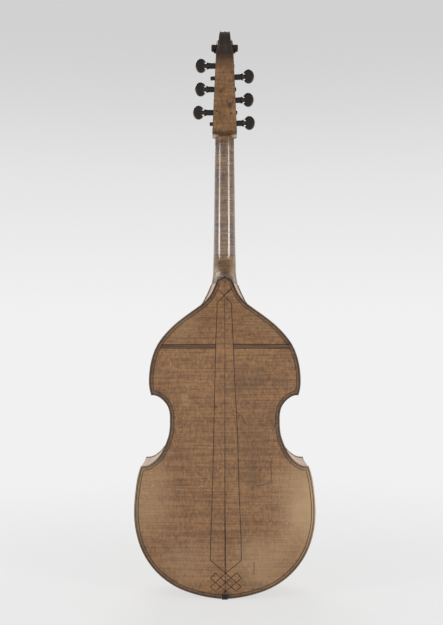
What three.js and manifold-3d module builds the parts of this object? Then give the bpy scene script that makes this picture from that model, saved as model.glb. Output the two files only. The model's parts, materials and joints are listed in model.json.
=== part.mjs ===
// A viola da gamba with six strings, standing on its tail: +Z runs up the neck, the flat back
// faces +Y and the arched belly faces -Y. The bass side is -X. Lengths are in millimetres.
// The origin is the middle of the flat outer face of the hook bar, the lowest face of the body.
import * as THREE from 'three';
import { mergeVertices } from 'three/addons/utils/BufferGeometryUtils.js';
import Module from 'manifold-3d';

const wasm = await Module();
wasm.setup();

// Heights of the body, one above the other
const tailFootProud = 1;
const lowerBoutHeight = 270;
const waistHeight = 143.5;
const bendRise = 98.5;
const slopeHeight = 132.5;
const buttonHeight = 15.5;
const buttonShoulder = 5;

// Widths and depths of the body; its other widths are shares of the widest
const lowerBoutWidth = 368.4;
const lowerCornerWidthShare = 0.924;
const waistWidthShare = 0.6053;
const upperCornerWidthShare = 0.8116;
const upperBoutWidthShare = 0.836;
const buttonWidth = 33;
const buttonFlare = 1.8;
const bodyDepth = 122;
const backLean = 40.3;

// Plates, ribs and what lines them
const backThickness = 3.5;
const bellyThickness = 4;
const archHeight = 16;
const archFullnessShare = 1.4;
const edgeOverhang = 1.5;
const ribThickness = 2;
const liningThickness = 2;
const liningDepth = 7;
const glueGap = 0.2;
const overrun = 30;

// Blocks, bars and braces inside
const topBlockHeight = 42;
const tailBlockHeight = 30;
const tailBlockWidth = 96;
const cornerBlockReach = 30;
const bassBarLength = 500;
const bassBarWidth = 7;
const bassBarDepth = 15;
const bassBarOffset = 24;
const braceDepth = 9;
const braceWidth = 14;
const bendBraceWidth = 24;
const lowerBraceRise = 120;
const upperBraceRise = 72;
const soundpostPlateWidth = 64;
const soundpostPlateThickness = 3;
const soundpostDiameter = 9;
const soundpostOffset = 30;
const soundpostSetback = 20;

// Neck, fingerboard and nut
const neckLength = 318.5;
const neckWidthAtNut = 40.7;
const neckWidthAtBody = 50.5;
const neckDepthAtNut = 20;
const neckDepthAtHeel = 24;
const neckRootProud = 22;
const neckSetback = 29;
const heelHeight = 66;
const heelFlare = 4.2;
const heelRoofFall = 8;
const heelRidgeWidth = 1.2;
const nutRise = 1.3;
const nutHeight = 6;
const stringClearanceAtEnd = 5;
const stringGap = 0.25;
const fingerboardLength = 464;
const fingerboardThickness = 7;
const fingerboardTipThickness = 12;
const fingerboardTipWidth = 55.6;
const fingerboardRadius = 58;

// Pegbox and scroll, carved in one piece
const pegboxHeight = 163;
const pegboxWidthAtNut = 53;
const pegboxWidthAtTop = 37;
const pegboxCornerRound = 2.5;
const pegboxDepthAtNut = 48;
const pegboxDepthAtTop = 35;
const pegboxBackAtNut = 15;
const pegboxLean = 25;
const pegboxFloor = 8;
const cheekThickness = 8;
const cheekThicknessAtTop = 6.5;
const cavityFoot = 9;
const cavityHeadroom = 13;
const throatDepth = 11.5;
const scrollRise = 184;
const scrollSetback = 16;
const scrollRadius = 36.5;
const scrollWidth = 57;
const eyeRadius = 7.6;
const eyeRound = 2;
const flutingDepth = 1.4;

// Pegs
const firstPegRise = 27.5;
const pegPitch = 47;
const pegStagger = 21;
const pegShaftDiameter = 10.6;
const pegTaper = 0.032;
const pegBeadDiameter = 13.6;
const pegBeadWidth = 4.3;
const pegNeckDiameter = 7.6;
const pegNeckWidth = 2.6;
const pegHeadDiameter = 29.6;
const pegHeadWidth = 21.3;
const pegHeadThickness = 9;
const pegHeadBevel = 1.3;
const pegClearance = 0.12;
const pegSides = 16;

// Bridge, tailpiece, hook bar and strings
const bridgeHeight = 76;
const bridgeSetFromTail = 289;
const bridgeTopWidth = 68;
const bridgeFootSpan = 92;
const bridgeFootThickness = 12;
const bridgeTopThickness = 5;
const bridgeRadius = 54;
const tailpieceLength = 190;
const tailpieceTopWidth = 60;
const tailpieceTailWidth = 30;
const tailpieceThickness = 5;
const tailpieceCrown = 5;
const tailpieceTopClearance = 31;
const tailpieceTailClearance = 11;
const hookBarWidth = 12.5;
const hookBarThickness = 9;
const hookNeckThickness = 4.3;
const hookLipDepth = 3;
const hookRise = 20;
const tailpieceEdge = 1;
const stringHoleDiameter = 4;
const stringHoleSetback = 10;
const stringTail = 3;
const nutSpread = 30;
const bridgeSpread = 57.8;
const tailSpread = 46;
const soundHoleRadius = 40;
const soundHoleWidth = 6.5;
const soundHoleEyeDiameter = 10;
const soundHoleOffsetShare = 0.304;
const soundHoleAngle = 58 * Math.PI / 180;
const soundHoleRise = 12;
const windingWidth = 4;
const windingDepth = 1.6;
const stringDiameters = [0.7, 0.9, 1.1, 1.4, 1.8, 2.2];

// How far the tip of each peg stands out of the far cheek, first string to sixth
const pegTips = [3, 3, 1.2, 10, 0.8, 7];
// How far the head of each peg stands off its cheek
const pegStandOffs = [22.6, 20.4, 21.5, 21, 18.2, 18.8];
// How far the axis of each peg drops towards its tip
const degree = Math.PI / 180;
const pegTilts = [0, 0, 0, 3.1 * degree, 2 * degree, 1.7 * degree];
// Where each string is wound in the pegbox, out from the middle
const windingOffsets = [13, 8.5, 3.8, 3.8, 8.5, 13];

// Widths and places that follow from the sizes
const lowerCornerWidth = lowerBoutWidth * lowerCornerWidthShare;
const waistWidth = lowerBoutWidth * waistWidthShare;
const upperCornerWidth = lowerBoutWidth * upperCornerWidthShare;
const upperBoutWidth = lowerBoutWidth * upperBoutWidthShare;
const soundHoleOffset = lowerBoutWidth * soundHoleOffsetShare;
const lowerCornerZ = tailFootProud + lowerBoutHeight;
const upperCornerZ = lowerCornerZ + waistHeight;
const bendZ = upperCornerZ + bendRise;
const jointZ = bendZ + slopeHeight;
const buttonTipZ = jointZ + buttonHeight;
const nutTopZ = jointZ + neckLength;
const bridgeZ = tailFootProud + bridgeSetFromTail;
const backPlane = bodyDepth / 2;
const bellyPlane = -bodyDepth / 2;
const backY = (z) => backPlane - Math.max(0, z - bendZ) * backLean / slopeHeight;
const backInnerY = (z) => backY(z) - backThickness;
const bellyInnerY = bellyPlane + bellyThickness;
const ribInset = edgeOverhang + ribThickness;
const innerInset = ribInset + glueGap;
const rootBackHalf = buttonWidth / 2 + buttonFlare;
const rootBellyHalf = neckWidthAtBody / 2 + heelFlare;

// The outline in shares, from the neck down. Upper bout: height above the corner, then how far
// out the back and the belly lie between the neck's side and the widest place of the bout.
const upperShares = [
  [1, 0, 0], [0.97, 0.018, 0.024], [0.93, 0.049, 0.055], [0.89, 0.083, 0.092],
  [0.82, 0.182, 0.165], [0.742, 0.363, 0.321], [0.656, 0.557, 0.522], [0.578, 0.7, 0.674],
  [0.502, 0.81, 0.793], [0.426, 0.892, 0.882], [0.335, 0.951, 0.946], [0.24, 0.986, 0.985],
  [0.14, 1, 1], [0.065, 0.993, 0.992],
];
// Waist: height above the lower corner, then how far out from the narrowest place to a corner
const waistUpperShares = [
  [0.994, 0.745], [0.955, 0.475], [0.891, 0.236], [0.829, 0.097], [0.747, 0.012], [0.644, 0],
];
const waistLowerShares = [
  [0.549, 0.004], [0.424, 0.05], [0.306, 0.153], [0.18, 0.3], [0.09, 0.484], [0.026, 0.681],
  [0.003, 0.85],
];
// Lower bout: height above the tail edge, share of the half width
const lowerShares = [
  [0.915, 0.962], [0.79, 0.988], [0.67, 1], [0.55, 0.99], [0.43, 0.95], [0.311, 0.8735],
  [0.191, 0.737], [0.0975, 0.554], [0.0435, 0.363], [0.011, 0.163], [0, 0],
];
// How far out the arching of the belly reaches, as shares of the body's height and half width
const archReachShares = [
  [0, 0.2], [0.02, 0.3], [0.06, 0.58], [0.12, 0.77], [0.2, 0.89], [0.28, 0.925], [0.36, 0.87],
  [0.44, 0.69], [0.5, 0.57], [0.56, 0.55], [0.62, 0.62], [0.68, 0.74], [0.74, 0.75],
  [0.8, 0.65], [0.86, 0.47], [0.93, 0.22], [1, 0.12],
];
// The scroll at each quarter turn from the back, inwards: radius and width against the named ones
const scrollRadiusShares = [1.07, 0.925, 0.84, 0.67, 0.55, 0.44, 0.355, 0.29, 0.235];
const scrollWidthShares = [0.485, 0.35, 0.29, 0.36, 0.48, 0.59, 0.7, 0.82, 0.93];

const upperSteps = 18;
const waistSteps = 16;
const lowerSteps = 18;
const archRows = 22;
const archColumns = 8;
const scrollSteps = 9;
const heelSteps = 6;
const archedSteps = 8;
const eyeSides = 18;
const pegHeadSteps = 14;
const bridgeEyeSteps = 12;
const bridgeTopSteps = 4;
const bassBarSteps = 14;
const soundHoleSteps = 10;
const soundHoleEyeSides = 12;
const soundpostSides = 16;
const stringHoleSides = 10;
const stringSides = 8;
// Quarter turns between which each length of the scroll is carved; each one overlaps the next
const scrollFromQuarterShares = [1, 2.5, 4, 6];
const scrollToQuarterShares = [2.5, 4.1, 6.1, 8];
// The hooked inner side of a peg's head, from its corner to its neck
const pegHeadInnerShares = [[0.01, 0.68], [0, 0.46], [0.06, 0.38], [0.16, 0.36], [0.19, 0.2]];
const neckAngleShares = [0, 0.08, 0.22, 0.38, 0.54, 0.7, 0.86, 1];
// The side of the bridge from its top down, then the arch between its feet
const bridgeSideShares = [
  [0.74, 0.79], [0.6, 0.55], [0.62, 0.42], [0.8, 0.3], [0.97, 0.1], [1, 0], [1, -0.09],
  [0.59, -0.09], [0.59, 0.06], [0.42, 0.2], [0, 0.3],
];
// Eyes of the bridge: place, half width and half height
const bridgeEyeShares = [[0, 0.56, 0.13, 0.12], [0.4, 0.62, 0.12, 0.07], [-0.4, 0.62, 0.12, 0.07]];

const maple = { color: '#96703c', roughness: 0.42, metalness: 0 };
const spruce = { color: '#c08a48', roughness: 0.45, metalness: 0 };
const finishes = {
  back: maple,
  belly: spruce,
  rib: { ...maple, color: '#a87c44' },
  inside: { color: '#c9a877', roughness: 0.8, metalness: 0 },
  neck: { ...maple, color: '#b88a50' },
  pegbox: { ...maple, color: '#6e4a28' },
  dark: { color: '#2b1a12', roughness: 0.35, metalness: 0 },
  bridge: { color: '#c89b5c', roughness: 0.6, metalness: 0 },
  gut: { color: '#d9b77e', roughness: 0.4, metalness: 0 },
  wound: { color: '#b9a27c', roughness: 0.3, metalness: 0.6 },
};

// A closed geometry as a solid that can be joined and cut
function solidOf({ attributes, index }) {
  return new wasm.Manifold(new wasm.Mesh({
    numProp: 3,
    vertProperties: attributes.position.array,
    triVerts: new Uint32Array(index.array),
  }));
}
function solid(geometry) {
  const bare = geometry.clone();
  bare.deleteAttribute('normal');
  bare.deleteAttribute('uv');
  return solidOf(mergeVertices(bare, 1e-4));
}

// A solid as a geometry again
function geometryOf(body) {
  const { numProp, vertProperties, triVerts, numVert } = body.getMesh();
  const positions = new Float32Array(numVert * 3);
  for (let i = 0; i < numVert; i += 1) {
    positions.set(vertProperties.subarray(i * numProp, i * numProp + 3), i * 3);
  }
  const geometry = new THREE.BufferGeometry();
  geometry.setAttribute('position', new THREE.BufferAttribute(positions, 3));
  geometry.setIndex(new THREE.BufferAttribute(triVerts, 1));
  return geometry;
}

// The same solid on the other side of the middle line
function mirrored(body) {
  const geometry = geometryOf(body).scale(-1, 1, 1);
  const turned = geometry.index.array;
  for (let i = 0; i < turned.length; i += 3) {
    [turned[i], turned[i + 1]] = [turned[i + 1], turned[i]];
  }
  return solidOf(geometry);
}
const moved = (body, offset) => solidOf(geometryOf(body).translate(...offset));
const bothSides = (half) => half.add(mirrored(half));

const finishMaterials = {};
for (const [name, finish] of Object.entries(finishes)) {
  finishMaterials[name] = new THREE.MeshStandardMaterial(finish);
}

function piece(name, body, finish) {
  const geometry = geometryOf(body).toNonIndexed();
  geometry.computeVertexNormals();
  const mesh = new THREE.Mesh(geometry, finishMaterials[finish]);
  mesh.name = name;
  return mesh;
}

const at = (x, y, z) => new THREE.Vector3(x, y, z);
const flat = (x, z) => new THREE.Vector2(x, z);
const mix = THREE.MathUtils.lerp;

// A skin over a row of rings with equal numbers of points, closed at both ends
function skin(rings) {
  const count = rings[0].length;
  const positions = rings.flat().flatMap((p) => [p.x, p.y, p.z]);
  const faces = [];
  for (let r = 0; r + 1 < rings.length; r += 1) {
    for (let i = 0; i < count; i += 1) {
      const next = (i + 1) % count;
      const [a, b] = [r * count + i, r * count + next];
      const [c, d] = [b + count, a + count];
      faces.push([a, b, c], [a, c, d]);
    }
  }
  const cap = (ring, first, outward) => {
    const normal = at(0, 0, 0);
    ring.forEach((p, i) => normal.add(p.clone().cross(ring[(i + 1) % count])));
    const size = [Math.abs(normal.x), Math.abs(normal.y), Math.abs(normal.z)];
    const drop = size.indexOf(Math.max(...size));
    const [u, v] = [['y', 'z'], ['x', 'z'], ['x', 'y']][drop];
    const drawn = ring.map((p) => flat(p[u], p[v]));
    const wound = Math.sign(THREE.ShapeUtils.area(drawn));
    for (const [a, b, c] of THREE.ShapeUtils.triangulateShape(drawn, [])) {
      const turn = THREE.ShapeUtils.area([drawn[a], drawn[b], drawn[c]]);
      const along = Math.sign(turn) === wound ? [a, b, c] : [a, c, b];
      const face = outward ? along : along.reverse();
      faces.push(face.map((i) => first + i));
    }
  };
  cap(rings[0], 0, false);
  cap(rings[rings.length - 1], (rings.length - 1) * count, true);
  const corner = (i) => at(...positions.slice(3 * i, 3 * i + 3));
  const volume = faces.reduce(
    (sum, [a, b, c]) => sum + corner(a).dot(corner(b).cross(corner(c))), 0);
  const indices = faces.flatMap(([a, b, c]) => (volume < 0 ? [a, c, b] : [a, b, c]));
  const geometry = new THREE.BufferGeometry();
  geometry.setAttribute('position', new THREE.Float32BufferAttribute(positions, 3));
  geometry.setIndex(indices);
  return solid(geometry);
}

// A straight block between two corners
function block(low, high) {
  const size = high.clone().sub(low);
  const geometry = new THREE.BoxGeometry(size.x, size.y, size.z);
  geometry.translate(...low.clone().add(high).multiplyScalar(1 / 2));
  return solid(geometry);
}

// A profile of radii and places, turned round the X axis
function turned(profile, sides) {
  const geometry = new THREE.LatheGeometry(profile.map(([r, x]) => flat(r, x)), sides);
  return solid(geometry.rotateZ(-Math.PI / 2));
}

// A flat outline drawn in X and Z, made solid from one depth to another
function acrossDepth(outline, fromY, toY) {
  const depth = Math.abs(toY - fromY);
  const geometry = new THREE.ExtrudeGeometry(new THREE.Shape(outline), {
    depth, bevelEnabled: false,
  });
  geometry.rotateX(Math.PI / 2);
  geometry.translate(0, Math.max(fromY, toY), 0);
  return solid(geometry);
}

// A slice of the body between two depths that may follow the bend of the back
const fullWidth = lowerBoutWidth + overrun;
const lowZ = -overrun;
function slice(front, back, topZ = buttonTipZ + overrun) {
  const heights = [lowZ, bendZ, topZ];
  const profile = [
    ...heights.map((z) => flat(front(z), z)),
    ...heights.reverse().map((z) => flat(back(z), z)),
  ];
  const geometry = new THREE.ExtrudeGeometry(new THREE.Shape(profile), {
    depth: fullWidth, bevelEnabled: false,
  });
  geometry.applyMatrix4(new THREE.Matrix4().makeBasis(at(0, 1, 0), at(0, 0, 1), at(1, 0, 0)));
  geometry.translate(-fullWidth / 2, 0, 0);
  return solid(geometry);
}

// Half of the outline, from the neck joint down to the tail, for the back or the belly
function halfOutline(rootHalf, column) {
  const boutHalf = upperBoutWidth / 2;
  const upperCorner = flat(upperCornerWidth / 2, upperCornerZ);
  const lowerCorner = flat(lowerCornerWidth / 2, lowerCornerZ);
  const upper = upperShares.map((share) => flat(
    mix(rootHalf, boutHalf, share[column]), mix(upperCornerZ, jointZ, share[0])));
  const waist = [
    ...waistUpperShares.map(([rise, out]) => flat(
      mix(waistWidth / 2, upperCorner.x, out), mix(lowerCornerZ, upperCornerZ, rise))),
    ...waistLowerShares.map(([rise, out]) => flat(
      mix(waistWidth / 2, lowerCorner.x, out), mix(lowerCornerZ, upperCornerZ, rise))),
  ];
  const lower = lowerShares.map(([rise, out]) => flat(
    out * lowerBoutWidth / 2, mix(tailFootProud, lowerCornerZ, rise)));
  return [
    ...new THREE.SplineCurve([...upper, upperCorner]).getPoints(upperSteps).slice(0, -1),
    ...new THREE.SplineCurve([upperCorner, ...waist, lowerCorner]).getPoints(waistSteps).slice(0, -1),
    ...new THREE.SplineCurve([lowerCorner, ...lower]).getPoints(lowerSteps),
  ];
}
const backHalf = halfOutline(rootBackHalf, 1);
const bellyHalf = halfOutline(rootBellyHalf, 2);

// The whole outline, closed well above the neck joint, moved inwards by a distance
function closedOutline(half, inwards) {
  const start = flat(half[0].x, jointZ + overrun);
  const right = [start, ...half];
  const left = right.slice(0, -1).reverse().map((p) => flat(-p.x, p.y));
  const whole = [...right, ...left];
  return whole.map((p, i) => {
    const before = whole.at(i - 1);
    const after = whole[(i + 1) % whole.length];
    const [a, b] = [p.clone().sub(before).normalize(), after.clone().sub(p).normalize()];
    const normals = [flat(a.y, -a.x), flat(b.y, -b.x)];
    const middle = normals[0].clone().add(normals[1]).normalize();
    return p.clone().addScaledVector(middle, inwards / middle.dot(normals[0]));
  });
}

// Everything inside the line of the ribs, from past the back to past the belly
function within(inwards) {
  const back = closedOutline(backHalf, inwards);
  const front = closedOutline(bellyHalf, inwards);
  const rings = [[], []];
  back.forEach((p, i) => {
    const b = at(p.x, backY(Math.min(p.y, buttonTipZ)), p.y);
    const f = at(front[i].x, bellyPlane, front[i].y);
    const past = b.clone().sub(f).multiplyScalar(1 / 4);
    rings[0].push(b.clone().add(past));
    rings[1].push(f.clone().sub(past));
  });
  return skin(rings);
}

// The mitres at the corners part the ribs and their linings into three on each side
function waistRegion(grown) {
  const reach = cornerBlockReach + overrun;
  const [upperX, lowerX] = [upperCornerWidth / 2, lowerCornerWidth / 2];
  const inner = waistWidth / 4;
  return acrossDepth([
    flat(upperX + reach + grown, upperCornerZ - reach + grown),
    flat(upperX - reach + grown, upperCornerZ + reach + grown),
    flat(inner, upperCornerZ + reach + grown),
    flat(inner, lowerCornerZ - reach - grown),
    flat(lowerX - reach + grown, lowerCornerZ - reach - grown),
    flat(lowerX + reach + grown, lowerCornerZ + reach - grown),
  ], -bodyDepth, bodyDepth);
}
const waistZ = (upperCornerZ + lowerCornerZ) / 2;
const nearWaist = waistRegion(0);
const awayFromWaist = waistRegion(glueGap);
const halfFrom = (low, high) => block(
  at(hookBarWidth / 2 + glueGap, -bodyDepth, low), at(fullWidth, bodyDepth, high));
const stretches = {
  upper: (body) => body.intersect(halfFrom(waistZ, nutTopZ)).subtract(awayFromWaist),
  center: (body) => body.intersect(halfFrom(lowZ, nutTopZ)).intersect(nearWaist),
  lower: (body) => body.intersect(halfFrom(lowZ, waistZ)).subtract(awayFromWaist),
};

// The back is two flat halves joined down the middle, bent forward above the bend
function backPlate() {
  const button = [
    flat(0, buttonTipZ),
    flat(buttonWidth / 2, jointZ + buttonShoulder),
    flat(buttonWidth / 2, jointZ + buttonShoulder / 2),
  ];
  const outline = [...button, ...backHalf];
  return acrossDepth(outline, -bodyDepth, bodyDepth)
    .intersect(slice(backInnerY, backY))
    .subtract(hookBarRoom());
}

// The room in the edges of the plates that the hook bar is let into
function hookBarRoom() {
  const half = hookBarWidth / 2 + glueGap;
  return block(at(-half, -bodyDepth, lowZ), at(half, bodyDepth, hookBarThickness + glueGap));
}

// How far out the belly's arching reaches at a height, and how high it is at a place
const archReach = new THREE.SplineCurve(archReachShares.map(([rise, out]) => flat(rise, out)));
const riseAt = (z) => THREE.MathUtils.clamp(
  (z - tailFootProud) / (jointZ - tailFootProud), 0, 1);
function archReachAt(z) {
  const knot = archReachShares.findIndex(([share], i) => i > 0 && riseAt(z) <= share);
  const [from, to] = [archReachShares[knot - 1][0], archReachShares[knot][0]];
  const place = (knot - 1 + (riseAt(z) - from) / (to - from)) / (archReachShares.length - 1);
  return archReach.getPoint(place).y * lowerBoutWidth / 2;
}
function archAt(x, z) {
  const across = Math.min(1, Math.abs(x) / archReachAt(z));
  const along = 1 - (1 - Math.sin(Math.PI * riseAt(z))) ** 2;
  return archHeight * along * (1 - across * across) ** archFullnessShare;
}
// Half of the belly: an arched sheet cut to the outline, with its C-shaped sound hole
function bellyPlate() {
  const rings = [];
  const topZ = jointZ - glueGap;
  for (let row = 0; row <= archRows; row += 1) {
    const z = mix(tailFootProud - bellyThickness, topZ, row / archRows);
    const reach = archReachAt(z);
    const stations = Array.from({ length: archColumns + 1 }, (_, i) => reach * i / archColumns);
    stations.push(fullWidth / 2);
    const outer = stations.map((x) => at(x, bellyPlane - archAt(x, z), z));
    rings.push([...outer, ...outer.map((p) => at(p.x, p.y + bellyThickness, z)).reverse()]);
  }
  const outline = [flat(0, jointZ), ...bellyHalf];
  return skin(rings)
    .intersect(acrossDepth(outline, -bodyDepth, bodyDepth))
    .subtract(hookBarRoom())
    .subtract(soundHole());
}

// The C of a sound hole opens towards the edge, with a round eye at each end
function soundHole() {
  const centre = flat(soundHoleOffset, bridgeZ + soundHoleRise);
  const onArc = (radius, angle) => flat(
    centre.x - radius * Math.cos(angle), centre.y + radius * Math.sin(angle));
  const angles = Array.from({ length: soundHoleSteps + 1 }, (_, i) => mix(
    -soundHoleAngle, soundHoleAngle, i / soundHoleSteps));
  const half = soundHoleWidth / 2;
  const slot = [
    ...angles.map((angle) => onArc(soundHoleRadius - half, angle)),
    ...angles.reverse().map((angle) => onArc(soundHoleRadius + half, angle)),
  ];
  const eye = (angle) => {
    const middle = onArc(soundHoleRadius, angle);
    const round = new THREE.CylinderGeometry(
      soundHoleEyeDiameter / 2, soundHoleEyeDiameter / 2, bodyDepth, soundHoleEyeSides);
    return solid(round.translate(middle.x, bellyPlane, middle.y));
  };
  return acrossDepth(slot, bellyPlane - bodyDepth / 2, bellyPlane + bodyDepth / 2)
    .add(eye(-soundHoleAngle))
    .add(eye(soundHoleAngle));
}

const body = new THREE.Group();
const trebleSide = new THREE.Group();
const bassSide = new THREE.Group();
bassSide.scale.x = -1;
body.add(trebleSide, bassSide);

// A piece of the treble side and its mirror image on the bass side
function pair(name, shape, finish) {
  trebleSide.add(piece(name.replace('SIDE', 'treble'), shape, finish));
  bassSide.add(piece(name.replace('SIDE', 'bass'), shape, finish));
}

pair('back_SIDE_half', backPlate(), 'back');
const bellyShape = bellyPlate();
pair('belly_SIDE_half', bellyShape, 'belly');

const underJoint = jointZ - glueGap;
const ribDepth = slice(
  () => bellyInnerY + glueGap, (z) => backInnerY(z) - glueGap, underJoint);
const ribShell = within(edgeOverhang).subtract(within(ribInset)).intersect(ribDepth);
for (const [stretch, part] of Object.entries(stretches)) {
  pair(`${stretch}_rib_SIDE`, part(ribShell), 'rib');
}

// The blocks fill the ends and the corners from the back to the belly
const inside = within(innerInset).intersect(ribDepth);
const topBlock = bothSides(inside.intersect(block(
  at(0, -bodyDepth, underJoint - topBlockHeight), at(fullWidth, bodyDepth, jointZ))));
const tailBlock = bothSides(inside.intersect(block(
  at(0, -bodyDepth, hookBarThickness + glueGap),
  at(tailBlockWidth / 2, bodyDepth, hookBarThickness + tailBlockHeight))));
body.add(piece('top_block', topBlock, 'inside'), piece('tail_block', tailBlock, 'inside'));

function cornerRegion(x, z, up, grown) {
  const reach = cornerBlockReach + grown;
  const out = (distance) => z - up * distance;
  return acrossDepth([
    flat(x + overrun, z + up * reach), flat(x, z + up * reach), flat(x - reach, z),
    flat(x - reach, out(overrun)), flat(x + overrun, out(overrun)),
  ], -bodyDepth, bodyDepth);
}
const upperCornerRegion = (grown) => cornerRegion(
  upperCornerWidth / 2, upperCornerZ, 1, grown);
const lowerCornerRegion = (grown) => cornerRegion(
  lowerCornerWidth / 2, lowerCornerZ, -1, grown);
pair('upper_corner_block_SIDE', inside.intersect(upperCornerRegion(0)), 'inside');
pair('lower_corner_block_SIDE', inside.intersect(lowerCornerRegion(0)), 'inside');

// The linings run along the ribs between the blocks, under each plate
const betweenBlocks = (strip) => strip
  .subtract(upperCornerRegion(glueGap))
  .subtract(lowerCornerRegion(glueGap))
  .subtract(block(
    at(-fullWidth, -bodyDepth, underJoint - topBlockHeight - glueGap),
    at(fullWidth, bodyDepth, nutTopZ)))
  .subtract(block(
    at(-tailBlockWidth / 2 - glueGap, -bodyDepth, lowZ),
    at(tailBlockWidth / 2 + glueGap, bodyDepth, hookBarThickness + tailBlockHeight + glueGap)));
const liningShell = betweenBlocks(
  within(innerInset).subtract(within(innerInset + liningThickness)));
const liningBands = {
  back: slice((z) => backInnerY(z) - glueGap - liningDepth, (z) => backInnerY(z) - glueGap),
  belly: slice(() => bellyInnerY + glueGap, () => bellyInnerY + glueGap + liningDepth),
};
for (const [plate, band] of Object.entries(liningBands)) {
  for (const [stretch, part] of Object.entries(stretches)) {
    pair(`${stretch}_${plate}_lining_SIDE`, part(liningShell.intersect(band)), 'inside');
  }
}

// Braces are glued across the inside of the back, between the linings
const betweenLinings = within(innerInset + liningThickness + glueGap);
function backBrace(name, z, width, depth) {
  const across = block(at(0, -bodyDepth, z - width / 2), at(fullWidth, bodyDepth, z + width / 2));
  const band = slice((h) => backInnerY(h) - glueGap - depth, (h) => backInnerY(h) - glueGap);
  const half = betweenBlocks(betweenLinings.intersect(across).intersect(band));
  body.add(piece(name, bothSides(half), 'inside'));
}
backBrace('bend_brace', bendZ, bendBraceWidth, braceDepth);
backBrace('lower_back_brace', tailFootProud + lowerBraceRise, braceWidth, braceDepth);
backBrace('upper_back_brace', bendZ + upperBraceRise, braceWidth, braceDepth);
const soundpostZ = bridgeZ - soundpostSetback;
backBrace('soundpost_plate', soundpostZ, soundpostPlateWidth, soundpostPlateThickness);

// The soundpost stands between its plate and the belly, behind the treble foot of the bridge
const postBack = backInnerY(soundpostZ) - soundpostPlateThickness - 2 * glueGap;
const postFront = bellyPlane - archAt(soundpostOffset, soundpostZ) + bellyThickness / 2;
const postRound = new THREE.CylinderGeometry(
  soundpostDiameter / 2, soundpostDiameter / 2, postBack - postFront, soundpostSides);
postRound.translate(soundpostOffset, (postBack + postFront) / 2, soundpostZ);
const bellyTowardsBack = moved(bellyShape, at(0, glueGap, 0));
body.add(piece('soundpost', solid(postRound).subtract(bellyTowardsBack), 'inside'));

// The bass bar follows the inside of the belly under the bass foot
function bassBar() {
  const heights = Array.from({ length: bassBarSteps + 1 }, (_, i) => mix(
    bridgeZ - bassBarLength / 2, bridgeZ + bassBarLength / 2, i / bassBarSteps));
  const rings = heights.map((z, i) => {
    const front = bellyInnerY - archAt(bassBarOffset, z) + 3 * glueGap;
    const back = front + bassBarDepth * (1 / 3 + 2 / 3 * Math.sin(Math.PI * i / bassBarSteps));
    const [left, right] = [-bassBarOffset - bassBarWidth / 2, -bassBarOffset + bassBarWidth / 2];
    return [at(left, front, z), at(right, front, z), at(right, back, z), at(left, back, z)];
  });
  return skin(rings);
}
body.add(piece('bass_bar', bassBar(), 'inside'));

// The neck is round at the back; its heel stands on the top block and is hollowed up to it
const neckFrontY = (z) => bellyPlane - neckRootProud + neckSetback * (z - jointZ) / neckLength;
const heelTopZ = jointZ + heelHeight;
function neckRing(z, back, heelShare, buttonShare) {
  const front = neckFrontY(z);
  const along = (z - jointZ) / neckLength;
  const flare = heelFlare * Math.max(0, 1 - (z - jointZ) / (heelHeight / 2)) ** 2;
  const half = mix(neckWidthAtBody, neckWidthAtNut, along) / 2 + flare;
  const depth = back - front;
  const ridge = Math.max(heelRidgeWidth / 2, buttonShare * buttonWidth / 2);
  const fall = heelRoofFall * (1 - buttonShare);
  const rim = flat(buttonWidth / 2 + glueGap, depth - fall - edgeOverhang / 2);
  const roof = [flat(0, depth), flat(ridge / 2, depth), flat(ridge, depth), rim];
  const side = [1 / 4, 1 / 2, 3 / 4, 1].map((share) => flat(
    mix(rim.x, half, share), mix(rim.y, 0, share)));
  const round = neckAngleShares.map((share) => flat(
    half * Math.sin(share * Math.PI / 2), depth * Math.cos(share * Math.PI / 2)));
  const right = [...roof, ...side].map((p, i) => round[i].clone().lerp(p, heelShare));
  const left = right.slice(1).reverse().map((p) => flat(-p.x, p.y));
  return [...right, ...left].map((p) => at(p.x, front + p.y, z));
}
function neck() {
  const buttonEnd = backInnerY(buttonTipZ) - glueGap;
  const neckEnd = neckFrontY(heelTopZ) + neckDepthAtHeel;
  const rings = [
    neckRing(jointZ, backInnerY(jointZ) - glueGap, 1, 1),
    neckRing(jointZ + buttonShoulder, backInnerY(jointZ + buttonShoulder) - glueGap, 1, 1),
  ];
  for (let step = 0; step <= heelSteps; step += 1) {
    const angle = Math.PI / 2 * step / heelSteps;
    const z = heelTopZ - (heelTopZ - buttonTipZ) * Math.cos(angle);
    const back = mix(buttonEnd, neckEnd, Math.sin(angle));
    rings.push(neckRing(z, back, Math.cos(angle) ** 2, 0));
  }
  for (const share of [1 / 3, 2 / 3, 1]) {
    const z = mix(heelTopZ, nutTopZ, share);
    rings.push(neckRing(z, neckFrontY(z) + mix(neckDepthAtHeel, neckDepthAtNut, share), 0, 0));
  }
  return skin(rings);
}
body.add(piece('neck', neck(), 'neck'));

// The six strings lie on one arc at the nut, the bridge and the tailpiece
const strings = stringDiameters.map((diameter, i) => {
  const share = 1 - 2 * i / (stringDiameters.length - 1);
  return { radius: diameter / 2, share, number: i + 1 };
});
const crownFall = (x, radius) => radius - Math.sqrt(radius * radius - x * x);
const nutBottomZ = nutTopZ - nutHeight;
const boardCrownAtNut = neckFrontY(nutBottomZ) - fingerboardThickness;
const nutCrown = boardCrownAtNut - nutRise;
const bridgeCrown = bellyPlane - archAt(0, bridgeZ) - bridgeHeight;
const boardEndZ = nutBottomZ - fingerboardLength;
const boardCrownAtEnd = mix(
  nutCrown, bridgeCrown, (nutBottomZ - boardEndZ) / (nutBottomZ - bridgeZ)) + stringClearanceAtEnd;

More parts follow.
